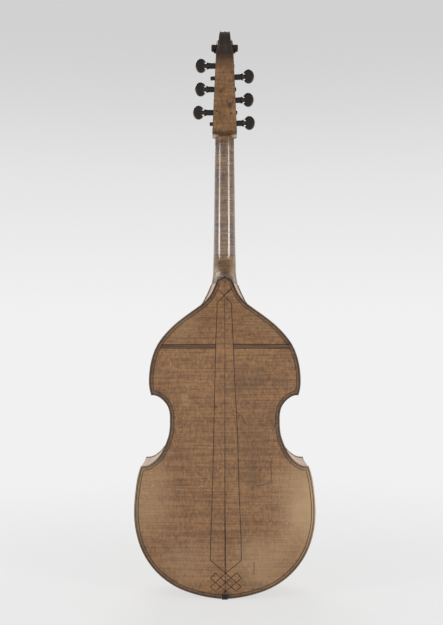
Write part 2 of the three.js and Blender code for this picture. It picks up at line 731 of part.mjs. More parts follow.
// An arched board: a ring with a flat underside and a round top
function archedRing(z, under, crown, half, radius) {
  const arc = Array.from({ length: archedSteps + 1 }, (_, i) => {
    const x = mix(half, -half, i / archedSteps);
    return at(x, crown + crownFall(x, radius), z);
  });
  return [at(-half, under, z), at(half, under, z), ...arc];
}
const boardUnder = (z) => neckFrontY(z) - glueGap;
const boardCrown = (z) => mix(
  boardCrownAtNut, boardCrownAtEnd, (nutBottomZ - z) / fingerboardLength);
const boardHalf = (z) => mix(
  neckWidthAtBody, neckWidthAtNut, (z - jointZ) / neckLength) / 2;
const fingerboard = skin([
  archedRing(boardEndZ, boardCrownAtEnd + fingerboardTipThickness, boardCrownAtEnd,
    fingerboardTipWidth / 2, fingerboardRadius),
  archedRing(jointZ, boardUnder(jointZ), boardCrown(jointZ), boardHalf(jointZ),
    fingerboardRadius),
  archedRing(nutBottomZ - glueGap, boardUnder(nutBottomZ), boardCrownAtNut,
    boardHalf(nutBottomZ), fingerboardRadius),
]);
const nut = skin([nutBottomZ, nutTopZ].map((z) => archedRing(
  z, boardUnder(z), nutCrown, boardHalf(nutTopZ), fingerboardRadius)));
body.add(piece('fingerboard', fingerboard, 'dark'), piece('nut', nut, 'dark'));

// The pegbox stands on the end of the neck and leans back; its front is open
const pegboxTopZ = nutTopZ + pegboxHeight;
const boxShare = (z) => (z - nutTopZ) / pegboxHeight;
const boxBack = (z) => -pegboxBackAtNut + pegboxLean * boxShare(z);
const boxDepth = (z) => mix(pegboxDepthAtNut, pegboxDepthAtTop, boxShare(z));
const boxHalf = (z) => mix(pegboxWidthAtNut, pegboxWidthAtTop, boxShare(z)) / 2;
const boxFront = (z) => boxBack(z) - boxDepth(z);
const boxMiddle = (z) => boxBack(z) - boxDepth(z) / 2;
const cheekAt = (z) => mix(cheekThickness, cheekThicknessAtTop, boxShare(z));
function boxRing(z, half, back, front, round) {
  return [
    at(-half, front, z), at(half, front, z), at(half, back - round, z),
    at(half - round, back, z), at(round - half, back, z), at(-half, back - round, z),
  ];
}
function pegboxBody() {
  const footZ = nutTopZ + pegboxCornerRound;
  const bevel = pegboxCornerRound;
  const insideScroll = pegboxTopZ + cavityHeadroom;
  return skin([
    boxRing(nutTopZ, boxHalf(nutTopZ) - bevel, boxBack(nutTopZ), boxFront(nutTopZ), bevel),
    boxRing(footZ, boxHalf(footZ), boxBack(footZ), boxFront(footZ), bevel),
    boxRing(pegboxTopZ, boxHalf(pegboxTopZ), boxBack(pegboxTopZ), boxFront(pegboxTopZ), bevel),
    boxRing(insideScroll, boxHalf(pegboxTopZ) - bevel, boxBack(pegboxTopZ) + bevel,
      boxFront(pegboxTopZ), bevel),
  ]);
}
const scrollCentreZ = nutTopZ + scrollRise;
const scrollCentreY = boxMiddle(nutTopZ) + scrollSetback;
function atQuarter(shares, quarter) {
  const from = Math.min(Math.max(0, Math.floor(quarter)), shares.length - 2);
  return mix(shares[from], shares[from + 1], quarter - from);
}
function scrollPart(fromQuarter, toQuarter) {
  const rings = Array.from({ length: scrollSteps + 1 }, (_, i) => {
    const quarter = mix(fromQuarter, toQuarter, i / scrollSteps);
    const radius = scrollRadius * atQuarter(scrollRadiusShares, quarter);
    const half = scrollWidth / 2 * atQuarter(scrollWidthShares, quarter);
    const profile = [
      flat(-half, eyeRadius / 4), flat(-half, radius), flat(-half / 2, radius - flutingDepth),
      flat(0, radius), flat(half / 2, radius - flutingDepth), flat(half, radius),
      flat(half, eyeRadius / 4),
    ];
    const angle = Math.PI / 2 * quarter;
    return profile.map((p) => at(p.x,
      scrollCentreY + p.y * Math.cos(angle), scrollCentreZ + p.y * Math.sin(angle)));
  });
  return skin(rings);
}
function scroll() {
  const end = scrollWidth / 2;
  const eye = turned([
    [0, -end], [eyeRadius - eyeRound, -end], [eyeRadius, eyeRound - end],
    [eyeRadius, end - eyeRound], [eyeRadius - eyeRound, end], [0, end],
  ], eyeSides);
  const fromQuarter = -Math.asin((scrollCentreZ - pegboxTopZ)
    / (scrollRadius * scrollRadiusShares[0])) / (Math.PI / 2);
  return scrollFromQuarterShares.reduce(
    (whole, quarter, i) => whole.add(scrollPart(quarter, scrollToQuarterShares[i])),
    moved(eye, at(0, scrollCentreY, scrollCentreZ))
      .add(scrollPart(fromQuarter, scrollFromQuarterShares[0])));
}
function cavity() {
  const rings = [nutTopZ + cavityFoot, pegboxTopZ - cavityHeadroom].map((z) => {
    const half = boxHalf(z) - cheekAt(z);
    return boxRing(z, half, boxBack(z) - pegboxFloor, boxFront(z) - overrun, glueGap);
  });
  const throatZ = [nutTopZ - overrun, nutTopZ + cavityFoot + glueGap];
  const throatHalf = boxHalf(throatZ[1]) - cheekAt(throatZ[1]);
  return skin(rings).add(block(
    at(-throatHalf, boxFront(nutTopZ) - overrun, throatZ[0]),
    at(throatHalf, boxFront(nutTopZ) + throatDepth, throatZ[1])));
}

// Three pegs on each side, the bass side lowest; each turns in a bore through both cheeks
const pegPlaces = strings.map(({ number }, i) => {
  const fromTreble = number <= strings.length / 2;
  const step = fromTreble ? i : strings.length - number;
  const z = nutTopZ + firstPegRise + pegPitch * step + (fromTreble ? pegStagger : 0);
  return { z, y: boxMiddle(z), side: fromTreble ? 1 : -1 };
});
// The height of a peg's axis at a distance from the middle; its head is at its place's height
function onPegAxis(i, out) {
  const { z } = pegPlaces[i];
  const headOut = boxHalf(z) + pegStandOffs[i] + pegHeadWidth / 2;
  return z - Math.tan(pegTilts[i]) * (headOut - out);
}
const shaftRadius = (distance) => (pegShaftDiameter - pegTaper * distance) / 2;
function pegHead() {
  const radius = pegHeadDiameter / 2;
  const centre = pegHeadWidth - radius;
  const reach = Math.acos((pegHeadBevel / 2 - centre) / radius);
  const arc = Array.from({ length: pegHeadSteps + 1 }, (_, i) => {
    const angle = mix(-reach, reach, i / pegHeadSteps);
    return flat(centre + Math.cos(angle) * radius, Math.sin(angle) * radius);
  });
  const inner = pegHeadInnerShares.map(([x, z]) => flat(x * pegHeadWidth, z * radius));
  const across = inner.slice().reverse().map((p) => flat(p.x, -p.y));
  const geometry = new THREE.ExtrudeGeometry(new THREE.Shape([...arc, ...inner, ...across]), {
    depth: pegHeadThickness - 2 * pegHeadBevel,
    bevelThickness: pegHeadBevel,
    bevelSize: pegHeadBevel,
    bevelOffset: -pegHeadBevel,
    bevelSegments: 2,
  });
  geometry.rotateX(Math.PI / 2).translate(0, pegHeadThickness / 2 - pegHeadBevel, 0);
  return geometry;
}
function pegShape({ z }, tip, standOff) {
  const cheek = boxHalf(z);
  const beadX = standOff - pegNeckWidth - pegBeadWidth;
  const far = -2 * cheek - tip;
  const bead = pegBeadDiameter / 2;
  const shaft = turned([
    [0, far], [shaftRadius(beadX - far) - glueGap, far], [shaftRadius(beadX - far), far + glueGap],
    [shaftRadius(0), beadX], [bead, beadX + pegBeadWidth / 4], [bead, beadX + 3 * pegBeadWidth / 4],
    [pegNeckDiameter / 2, beadX + pegBeadWidth], [pegNeckDiameter / 2, standOff + pegHeadWidth / 2],
    [0, standOff + pegHeadWidth / 2],
  ], pegSides);
  return { shaft: shaft.add(solid(pegHead().translate(standOff, 0, 0))), beadX, far };
}
function windingShape({ z }, number, beadX) {
  const x = -boxHalf(z) + windingOffsets[number - 1];
  const ends = [x - windingWidth / 2, x + windingWidth / 2];
  const bore = ends.map((end) => (shaftRadius(beadX - end) + glueGap) / Math.cos(Math.PI / pegSides));
  const outer = bore[1] + windingDepth;
  return turned([
    [bore[0], ends[0]], [bore[0] + windingDepth / 2, ends[0]], [outer, x - windingWidth / 4],
    [outer, x + windingWidth / 4], [bore[1] + windingDepth / 2, ends[1]], [bore[1], ends[1]],
    [bore[0], ends[0]],
  ], pegSides);
}
const pegPieces = pegPlaces.map((place, i) => {
  const { shaft, beadX, far } = pegShape(place, pegTips[i], pegStandOffs[i]);
  const bored = (distance) => (shaftRadius(distance) + pegClearance) / Math.cos(Math.PI / pegSides);
  const bore = turned([
    [0, far - overrun], [bored(beadX - far + overrun), far - overrun], [bored(0), beadX],
    [0, beadX],
  ], pegSides);
  const hang = new THREE.Matrix4().makeRotationY(-place.side * pegTilts[i]);
  hang.setPosition(place.side * boxHalf(place.z), place.y, onPegAxis(i, boxHalf(place.z)));
  const side = new THREE.Group();
  side.applyMatrix4(hang);
  side.scale.x = place.side;
  side.add(
    piece(`peg_${i + 1}`, shaft, 'dark'),
    piece(`string_winding_${i + 1}`, windingShape(place, i + 1, beadX), 'gut'));
  body.add(side);
  const cutter = geometryOf(place.side < 0 ? mirrored(bore) : bore);
  return solidOf(cutter.applyMatrix4(hang));
});
const pegboxAndScroll = pegPieces.reduce(
  (box, bore) => box.subtract(bore), pegboxBody().add(scroll()).subtract(cavity()));
body.add(piece('pegbox_and_scroll', pegboxAndScroll, 'pegbox'));

// The bridge stands on the belly; its feet follow the arching
function bridge() {
  const rise = (share) => share * bridgeHeight;
  const out = (share) => share * bridgeFootSpan / 2;
  const top = Array.from({ length: bridgeTopSteps + 1 }, (_, i) => {
    const x = bridgeTopWidth / 2 * i / bridgeTopSteps;
    return flat(x, bridgeHeight - crownFall(x, bridgeRadius));
  });
  const side = bridgeSideShares.map(([x, z]) => flat(out(x), rise(z)));
  const half = [...top, ...side];
  const outline = [...half, ...half.slice(1, -1).reverse().map((p) => flat(-p.x, p.y))];
  const geometry = new THREE.ExtrudeGeometry(new THREE.Shape(outline), {
    depth: bridgeFootThickness, bevelEnabled: false,
  });
  const positions = geometry.attributes.position;
  for (let i = 0; i < positions.count; i += 1) {
    const thick = mix(bridgeFootThickness, bridgeTopThickness,
      Math.max(0, positions.getY(i)) / bridgeHeight);
    const across = positions.getZ(i) / bridgeFootThickness - 1 / 2;
    positions.setZ(i, across * thick);
  }
  const crown = bridgeCrown + bridgeHeight;
  geometry.applyMatrix4(new THREE.Matrix4().makeBasis(at(1, 0, 0), at(0, -1, 0), at(0, 0, -1)));
  geometry.translate(0, crown, bridgeZ);
  const belly = bothSides(bellyShape);
  const stand = [bellyThickness / 2, bellyThickness, 3 * bellyThickness / 2].reduce(
    (whole, deeper) => whole.add(moved(belly, at(0, deeper, 0))),
    moved(belly, at(0, -glueGap, 0)));
  return bridgeEyeShares.reduce((whole, [x, high, halfWide, halfHigh]) => {
    const eye = new THREE.CylinderGeometry(1, 1, 2 * bridgeFootThickness, bridgeEyeSteps);
    eye.rotateX(Math.PI / 2).scale(out(halfWide), rise(halfHigh), 1);
    return whole.subtract(solid(eye.translate(out(x), crown - rise(high), bridgeZ)));
  }, solid(geometry).subtract(stand));
}
body.add(piece('bridge', bridge(), 'bridge'));

// The hook bar is let into the tail and holds the tailpiece in the notch of its outer side
const hookY = bellyPlane - tailpieceTailClearance;
const tailpieceSlope = (archHeight + tailpieceTopClearance - tailpieceTailClearance)
  / tailpieceLength;
const hookNotchY = hookY - tailpieceThickness - hookBarThickness * tailpieceSlope - glueGap;
const hookProfile = [
  flat(backPlane, 0), flat(backPlane, hookBarThickness),
  flat(hookNotchY - hookLipDepth, hookBarThickness), flat(hookNotchY - hookLipDepth, 0),
  flat(hookNotchY, 0), flat(hookNotchY, hookBarThickness - hookNeckThickness),
  flat(hookY + glueGap, hookBarThickness - hookNeckThickness), flat(hookY + glueGap, 0),
];
const hookGeometry = new THREE.ExtrudeGeometry(new THREE.Shape(hookProfile), {
  depth: hookBarWidth, bevelEnabled: false,
});
hookGeometry.applyMatrix4(
  new THREE.Matrix4().makeBasis(at(0, 1, 0), at(0, 0, 1), at(1, 0, 0)));
hookGeometry.translate(-hookBarWidth / 2, 0, 0);
body.add(piece('hook_bar', solid(hookGeometry), 'dark'));

// The tailpiece hangs over the belly on the hook bar and takes the six strings
const tailpieceEndZ = tailpieceEdge;
const tailpieceTopZ = tailpieceEndZ + tailpieceLength;
const tailUnder = (z) => hookY - (z - tailpieceEndZ) * tailpieceSlope;
const tailHalf = (z) => mix(
  tailpieceTailWidth, tailpieceTopWidth, (z - tailpieceEndZ) / tailpieceLength) / 2;
const tailRadius = (half) => (half * half + tailpieceCrown * tailpieceCrown) / (2 * tailpieceCrown);
const tailCrown = (z) => tailUnder(z) - tailpieceThickness - (z > hookShelfZ ? tailpieceCrown : 0);
const hookShelfZ = hookBarThickness + hookRise;
function tailRing(z, crown) {
  const half = tailHalf(z);
  return archedRing(z, tailUnder(z), tailUnder(z) - tailpieceThickness - crown, half,
    tailRadius(half) * tailpieceCrown / Math.max(crown, glueGap));
}
const hole = stringHoleDiameter / 2;
const holeZ = tailpieceTopZ - stringHoleSetback;
const stringAtTail = ({ share }) => share * tailSpread / 2;
const tailCrownAt = (x, z) => tailCrown(z) + crownFall(x, tailRadius(tailHalf(z)));
function tailpiece() {
  const barRoom = block(
    at(-hookBarWidth / 2 - 2 * glueGap, -bodyDepth, hookBarThickness - hookNeckThickness),
    at(hookBarWidth / 2 + 2 * glueGap, bodyDepth, hookBarThickness + 2 * glueGap));
  const shape = skin([
    tailRing(tailpieceEndZ, 0), tailRing(hookShelfZ / 2, 0), tailRing(hookShelfZ, tailpieceCrown),
    tailRing(tailpieceTopZ, tailpieceCrown),
  ]).subtract(barRoom);
  return strings.reduce((whole, string) => {
    const round = new THREE.CylinderGeometry(hole, hole, bodyDepth, stringHoleSides);
    return whole.subtract(solid(round.translate(stringAtTail(string), tailCrown(holeZ), holeZ)));
  }, shape);
}
body.add(piece('tailpiece', tailpiece(), 'dark'));

// A string runs straight between the places where it bends
class Route extends THREE.Curve {
  constructor(points) {
    super();
    this.points = points;
  }

  getUtoTmapping(u) {
    return u;
  }

  getPoint(t) {
    const place = t * (this.points.length - 1);
    const from = Math.min(Math.floor(place), this.points.length - 2);
    return this.points[from].clone().lerp(this.points[from + 1], place - from);
  }

  getTangent(t) {
    const place = Math.round(t * (this.points.length - 1));
    const [before, here, after] = [place - 1, place, place + 1].map(
      (i) => this.points[THREE.MathUtils.clamp(i, 0, this.points.length - 1)]);
    const [arriving, leaving] = [here.clone().sub(before), after.clone().sub(here)];
    return arriving.normalize().add(leaving.normalize()).normalize();
  }
}
strings.forEach((string, i) => {
  const { radius, share, number } = string;
  const { y, z, side } = pegPlaces[i];
  const woundZ = onPegAxis(i, windingOffsets[i]);
  const off = radius + stringGap;
  const winding = shaftRadius(pegStandOffs[i] + boxHalf(z)) + windingDepth + 3 * glueGap + off;
  const xNut = share * nutSpread / 2;
  const xBridge = share * bridgeSpread / 2;
  const xTail = stringAtTail(string);
  const nutY = nutCrown + crownFall(xNut, fingerboardRadius) - off;
  const bridgeY = bridgeCrown + crownFall(xBridge, bridgeRadius) - off;
  const edgeZ = holeZ + hole + stringGap;
  const route = new Route([
    at(side * windingOffsets[i], y - winding, woundZ + windingDepth),
    at(side * windingOffsets[i], y - winding, woundZ - windingDepth),
    at(xNut, nutY, nutTopZ + glueGap),
    at(xNut, nutY, nutBottomZ),
    at(xBridge, bridgeY, bridgeZ + bridgeTopThickness / 2),
    at(xBridge, bridgeY, bridgeZ - bridgeTopThickness / 2),
    at(xTail, tailCrownAt(xTail, edgeZ) - off - stringGap, edgeZ),
    at(xTail, tailCrownAt(xTail, holeZ), holeZ),
    at(xTail, tailUnder(holeZ) + stringTail, holeZ),
  ]);
  const section = Array.from({ length: stringSides }, (_, n) => {
    const angle = 2 * Math.PI * n / stringSides;
    return flat(radius * Math.cos(angle), radius * Math.sin(angle));
  });
  const geometry = new THREE.ExtrudeGeometry(new THREE.Shape(section), {
    steps: route.points.length - 1, extrudePath: route, bevelEnabled: false,
  });
  body.add(piece(`string_${number}`, solid(geometry), number > 3 ? 'wound' : 'gut'));
});

export default body;
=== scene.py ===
# A bass viola da gamba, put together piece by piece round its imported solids. Metres; the back
# faces +Y, the belly faces -Y and the neck runs up +Z.
import json
import math
import bmesh
import bpy
import numpy as np
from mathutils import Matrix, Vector, geometry
from mathutils.bvhtree import BVHTree


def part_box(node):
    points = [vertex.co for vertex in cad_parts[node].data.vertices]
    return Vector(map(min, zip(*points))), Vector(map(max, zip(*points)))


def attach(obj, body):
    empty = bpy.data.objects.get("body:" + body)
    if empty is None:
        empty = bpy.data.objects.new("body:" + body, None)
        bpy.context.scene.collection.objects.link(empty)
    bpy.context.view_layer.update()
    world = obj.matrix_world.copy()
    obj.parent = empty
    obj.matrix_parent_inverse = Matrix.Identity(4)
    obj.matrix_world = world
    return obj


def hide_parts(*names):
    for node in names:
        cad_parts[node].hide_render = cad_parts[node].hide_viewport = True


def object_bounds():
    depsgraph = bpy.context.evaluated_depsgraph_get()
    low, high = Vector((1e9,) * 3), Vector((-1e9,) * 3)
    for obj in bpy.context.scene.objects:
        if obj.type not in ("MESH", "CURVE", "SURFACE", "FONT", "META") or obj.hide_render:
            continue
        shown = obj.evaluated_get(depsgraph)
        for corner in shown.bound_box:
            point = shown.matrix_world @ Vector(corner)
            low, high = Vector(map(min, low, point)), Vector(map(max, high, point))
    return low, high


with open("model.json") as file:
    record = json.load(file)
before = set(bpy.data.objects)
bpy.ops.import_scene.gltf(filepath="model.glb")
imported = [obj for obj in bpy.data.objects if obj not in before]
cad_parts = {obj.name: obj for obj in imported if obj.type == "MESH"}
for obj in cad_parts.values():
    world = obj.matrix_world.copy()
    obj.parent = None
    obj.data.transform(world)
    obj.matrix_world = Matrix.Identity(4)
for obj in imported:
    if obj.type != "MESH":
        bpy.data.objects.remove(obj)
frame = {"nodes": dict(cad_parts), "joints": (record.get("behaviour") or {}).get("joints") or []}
cad_low, cad_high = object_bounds()
nodes = frame["nodes"]


# The back
# Two flat halves of figured maple, glued together down the middle and bent forward along a line
# in the upper part. Their edges stand a little over the ribs and are rounded by hand.
MM = 0.001
SAME_PLACE = 1e-6


class Wire:
    """One socket of a tree of nodes. Arithmetic on it adds Math nodes to the same tree."""

    def __init__(self, tree, socket):
        self.tree = tree
        self.socket = socket

    def math(self, operation, *terms):
        return self.tree.add("ShaderNodeMath", {"operation": operation}, dict(enumerate(terms)))

    def __add__(self, other):
        return self.math("ADD", self, other)

    def __sub__(self, other):
        return self.math("SUBTRACT", self, other)

    def __rsub__(self, other):
        return self.math("SUBTRACT", other, self)

    def __mul__(self, other):
        return self.math("MULTIPLY", self, other)

    __radd__ = __add__
    __rmul__ = __mul__

    def rising(self, low, high):
        """0 below low, 1 above high, and a soft rise between them."""
        return self.tree.add("ShaderNodeMapRange", {"interpolation_type": "SMOOTHSTEP"},
                             {0: self, 1: low, 2: high})


class Tree:
    """A tree of shader nodes, grown one node at a time."""

    def __init__(self, nodes_and_links):
        self.nodes = nodes_and_links.nodes
        self.links = nodes_and_links.links

    def add(self, kind, settings=None, sockets=None, out=0):
        """A node of a kind, its settings first, then the values or wires of its sockets."""
        node = self.nodes.new(kind)
        for key, value in (settings or {}).items():
            setattr(node, key, value)
        for key, value in (sockets or {}).items():
            self.plug(node.inputs[key], value)
        return Wire(self, node.outputs[out]) if node.outputs else None

    def plug(self, socket, value):
        if isinstance(value, Wire):
            self.links.new(value.socket, socket)
        elif isinstance(value, (tuple, list)) and socket.type == "RGBA":
            socket.default_value = (*value, 1)
        else:
            socket.default_value = value

    def mixed(self, share, low, high):
        """One colour where the share is 0 and another where it is 1."""
        return self.add("ShaderNodeMix", {"data_type": "RGBA"}, {0: share, 6: low, 7: high}, 2)


class Finish(Tree):
    """A material grown node by node. What is the same all over is set on the shader's sockets."""

    def __init__(self, name, roughness=0.5, coat=0.0, coat_roughness=0.15, coat_ior=1.5,
                 metallic=0.0, shine=0.5):
        self.material = bpy.data.materials.new(name)
        self.material.use_nodes = True
        super().__init__(self.material.node_tree)
        self.shader = self.nodes["Principled BSDF"]
        for key, value in (("Roughness", roughness), ("Coat Weight", coat),
                           ("Coat Roughness", coat_roughness), ("Coat IOR", coat_ior),
                           ("Metallic", metallic), ("Specular IOR Level", shine)):
            self.shader.inputs[key].default_value = value
        self.place = self.add("ShaderNodeTexCoord", out="Object")

    def stretched(self, scale):
        """The place on the piece, scaled along X, Y and Z."""
        return self.add("ShaderNodeVectorMath", {"operation": "MULTIPLY"},
                        {0: self.place, 1: scale})

    def along(self, axis):
        """The place on the piece along one axis."""
        return self.add("ShaderNodeSeparateXYZ", None, {0: self.place}, out=axis)

    def noise(self, scale, detail=2.0, roughness=0.5, warp=0.0):
        """Cloudy noise from 0 to 1 with so many waves to the metre along X, Y and Z."""
        return self.add("ShaderNodeTexNoise", None, {
            "Vector": self.stretched(scale), "Scale": 1.0, "Detail": detail,
            "Roughness": roughness, "Distortion": warp})

    def blot(self, centre, radii, soft=0.5, ragged=0.6):
        """1 at a place on the piece, falling to 0 at a ragged edge round it. Millimetres."""
        scale = [1 / (r * MM) for r in radii]
        away = self.add("ShaderNodeVectorMath", {"operation": "DISTANCE"}, {
            0: self.stretched(scale), 1: [c / r for c, r in zip(centre, radii)]}, out="Value")
        edge = self.noise([2.5 * s for s in scale], detail=3.0, roughness=0.6) - 0.5
        return 1 - (away + edge * ragged).rising(1 - soft, 1.0)

    def bump(self, height, depth, strength=1.0):
        normal = self.add("ShaderNodeBump", None, {
            "Height": height, "Distance": depth, "Strength": strength}, out="Normal")
        self.plug(self.shader.inputs["Normal"], normal)

    def paint(self, colour, roughness=None):
        self.plug(self.shader.inputs["Base Color"], colour)
        if roughness is not None:
            self.plug(self.shader.inputs["Roughness"], roughness)
        return self.material


# the colour of dirt, also used for painted shade on rims and on the head
DIRT_AND_PAINTED_SHADE = (0.016, 0.009, 0.005)


def maple(name, pale, dark, across, grain, flame, broad, fine, cloud, scuffs, blots=(),
          shade=None, roughness=0.36, coat=0.3, coat_roughness=0.16, coat_ior=1.5, shine=0.4,
          polish=None):
    """Figured maple under old varnish. Across and grain are waves to the metre of its flames and
    of its long grain; flame, broad, fine, cloud and scuffs say how strongly flames, bands, grain,
    clouds and wear show. Blots are marks: place and radii in millimetres, strength, colour and,
    if need be, softness."""
    wood = Finish(name, coat=coat, coat_roughness=coat_roughness, coat_ior=coat_ior, shine=shine)
    flames = wood.noise(across, detail=1.5, warp=0.35).rising(0.3, 0.7)
    bands = wood.noise([0.3 * a for a in across], detail=2.0, warp=0.3).rising(0.3, 0.7)
    lines = wood.noise(grain, detail=1.0).rising(0.25, 0.75)
    clouds = wood.noise((14, 14, 11), detail=4.0, roughness=0.62)
    spots = wood.noise((70, 70, 60), detail=4.0, roughness=0.72)
    tone = (0.5 + (flames - 0.5) * flame + (bands - 0.5) * broad + (lines - 0.5) * fine
            + (clouds - 0.5) * cloud * 1.7 + (spots - 0.5) * cloud * 1.3)
    colour = wood.mixed(tone.rising(0.0, 1.0), dark, pale)
    marks = wood.noise((250, 250, 270), detail=2.0, roughness=0.7).rising(0.58, 0.70)
    worn = wood.noise((23, 23, 17), detail=3.0, roughness=0.6).rising(0.42, 0.62)
    colour = wood.mixed(marks * worn * scuffs, colour, [min(1.0, 2.0 * c) for c in pale])
    stains = wood.noise((120, 120, 80), detail=3.0, roughness=0.65).rising(0.60, 0.74)
    colour = wood.mixed(stains * scuffs, colour, DIRT_AND_PAINTED_SHADE)
    # dirt and painted shade, where a shade is given
    if shade:
        colour = wood.mixed(shade(wood, spots), colour, DIRT_AND_PAINTED_SHADE)
    for place, radii, strength, tint, *soft in blots:
        colour = wood.mixed(wood.blot(place, radii, *soft) * strength, colour, tint)
    wood.bump(lines * 0.4 + flames * 0.3 + spots * 0.6, 0.12 * MM, 0.45)
    dullness = roughness + (clouds - 0.5) * 0.25
    if polish:
        shining = polish(wood)
        wood.plug(wood.shader.inputs["Coat Weight"], shining)
        dullness = dullness + (1 - shining) * 0.3
    return wood.paint(colour, dullness)


def cross_of(a, b):
    """How far b lies to the left of a, times the length of a."""
    return a[..., 0] * b[..., 1] - a[..., 1] * b[..., 0]


def unit(ways):
    """The same ways, each of them one long."""
    return ways / np.maximum(1e-9, np.linalg.norm(ways, axis=1))[:, None]


def left_of(ways):
    """The same ways, each turned a quarter to the left."""
    return np.column_stack([-ways[:, 1], ways[:, 0]])


def ways_at(points):
    """The ways into and out of each point of a closed line."""
    return points - np.roll(points, 1, 0), np.roll(points, -1, 0) - points


def turn_at(points):
    """How far a closed line turns at each of its points, in degrees."""
    into, out = ways_at(points)
    return np.degrees(np.arctan2(cross_of(into, out), (into * out).sum(1)))


def between(p0, p1, p2, p3, t):
    """A smooth line through four places, at a share of the way from the second to the third."""
    return 0.5 * (2 * p1 + (p2 - p0) * t + (2 * p0 - 5 * p1 + 4 * p2 - p3) * t ** 2
                  + (3 * p1 - p0 - 3 * p2 + p3) * t ** 3)


SHARP_DEGREES = 30


def smoothed(points, step):
    """A closed line through the same points, rounded between its sharp corners, and which of
    its points are such corners."""
    sharp = np.abs(turn_at(points)) > SHARP_DEGREES
    count = len(points)
    line, corner = [], []
    for i in range(count):
        here, there = points[i], points[(i + 1) % count]
        before = here if sharp[i] else points[i - 1]
        after = there if sharp[(i + 1) % count] else points[(i + 2) % count]
        parts = max(1, round(float(np.linalg.norm(there - here)) / step))
        for k in range(parts):
            line.append(between(before, here, there, after, k / parts))
            corner.append(bool(k == 0 and sharp[i]))
    return np.array(line), np.array(corner)


def solid_of(node):
    """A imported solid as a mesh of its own, with its corners joined."""
    solid = bmesh.new()
    solid.from_mesh(nodes[node].data)
    bmesh.ops.remove_doubles(solid, verts=solid.verts, dist=SAME_PLACE)
    return solid


FACES_OUT = 0.3


def loops_of(node, faces_y):
    """The edges of a solid's outer face, as closed lines of X and Z, the longest first."""
    solid = solid_of(node)
    outer = dict.fromkeys(f for f in solid.faces if f.normal.y * faces_y > FACES_OUT)
    ahead = {}
    for face in outer:
        for loop in face.loops:
            if not any(f in outer for f in loop.edge.link_faces if f is not face):
                ahead[loop.vert.index] = (loop.link_loop_next.vert.index, loop.vert.co.xz[:])
    found = []
    while ahead:
        index, line = next(iter(ahead)), []
        while index in ahead:
            index, place = ahead.pop(index)
            line.append(place)
        found.append(np.array(line))
    solid.free()
    return sorted(found, key=len, reverse=True)


SHORTEST_MITRE = 0.35


def inward(points, distance):
    """A closed line moved inwards, mitred where it turns; it runs round the piece either way."""
    side = np.sign(cross_of(points, np.roll(points, -1, 0)).sum())
    before, after = [side * left_of(unit(ways)) for ways in ways_at(points)]
    middle = unit(before + after)
    reach = distance / np.maximum(SHORTEST_MITRE, (middle * before).sum(1))
    return points + middle * reach[:, None]


def inside(loop, places):
    """Whether places lie inside a closed line, by the crossings to their right."""
    x, z = places[:, 0], places[:, 1]
    within = np.zeros(len(places), bool)
    for (ax, az), (bx, bz) in zip(loop, np.roll(loop, -1, 0)):
        crosses = (az > z) != (bz > z)
        rise = bz - az if bz != az else 1.0
        within ^= crosses & (x < (bx - ax) * (z - az) / rise + ax)
    return within


ON_THE_JOINT = 0.1 * MM


def distance_to(points, lines, but_joint=False):
    """How far each point lies from the nearest of some closed lines. The middle joint of the
    plate can be left out."""
    nearest = np.full(len(points), np.inf)
    for line in lines:
        for a, b in zip(line, np.roll(line, -1, 0)):
            if but_joint and max(abs(a[0]), abs(b[0])) < ON_THE_JOINT:
                continue
            way = b - a
            share = np.clip(((points - a) @ way) / max(1e-18, float(way @ way)), 0, 1)
            gaps = np.linalg.norm(points - a - share[:, None] * way, axis=1)
            nearest = np.minimum(nearest, gaps)
    return nearest


def made(name, shell, body, material, sharp=35, stands_for=()):
    """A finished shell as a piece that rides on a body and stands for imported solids."""
    bmesh.ops.recalc_face_normals(shell, faces=shell.faces)
    mesh = bpy.data.meshes.new(name)
    shell.to_mesh(mesh)
    shell.free()
    mesh.materials.append(material)
    mesh.shade_smooth()
    mesh.set_sharp_from_angle(angle=math.radians(sharp))
    piece = bpy.data.objects.new(name, mesh)
    piece.modifiers.new("even shading", "WEIGHTED_NORMAL").keep_sharp = True
    bpy.context.scene.collection.objects.link(piece)
    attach(piece, body)
    for node in stands_for:
        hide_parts(node)
    return piece


def zip_up(shell, rings):
    """Quads between rings of vertices, one ring after another."""
    for upper, lower in zip(rings, rings[1:]):
        for i in range(len(upper)):
            k = (i + 1) % len(upper)
            shell.faces.new((upper[i], upper[k], lower[k], lower[i]))


FOLD_ENDS = 2 * MM


def filled(rims, spacing, fold=None):
    """Places and triangles that fill a closed line round others, and where its points went. A
    fold is a height at which the triangles meet in a straight row."""
    low, high = rims[0].min(0), rims[0].max(0)
    grid = np.array([(x, z) for x in np.arange(low[0], high[0] + spacing, spacing)
                     for z in np.arange(low[1], high[1] + spacing, spacing)])
    clear = distance_to(grid, rims) > spacing * 0.55
    points = [Vector(p) for rim in rims for p in rim]
    edges, first = [], 0
    for rim in rims:
        edges += [(first + i, first + (i + 1) % len(rim)) for i in range(len(rim))]
        first += len(rim)
    if fold:
        clear &= np.abs(grid[:, 1] - fold) > spacing / 2
        crossing = rims[0][np.abs(rims[0][:, 1] - fold).argsort()[:4], 0]
        edges.append((len(points), len(points) + 1))
        ends = (crossing.min() + FOLD_ENDS, crossing.max() - FOLD_ENDS)
        points += [Vector((x, fold)) for x in ends]
    points += [Vector(p) for p in grid[clear]]
    flat, _, triangles, origins, _, _ = geometry.delaunay_2d_cdt(points, edges, [], 0, 1e-7)
    flat = np.array([p[:] for p in flat])
    where = {old: new for new, olds in enumerate(origins) for old in olds}
    centres = np.array([flat[list(t)].mean(0) for t in triangles])
    keep = inside(rims[0], centres)
    for rim in rims[1:]:
        keep &= ~inside(rim, centres)
    return flat, where, np.array(triangles)[keep]


# How far in from the edge and how far down the steps of a rounded edge lie, as shares
ROUND_STEPS = [(1 - math.sin(math.pi / 2 * step), 1 - math.cos(math.pi / 2 * step))
               for step in (1 / 3, 2 / 3, 1)]
HOLE_ROUNDING = 0.4
EDGE_STEP = 3 * MM


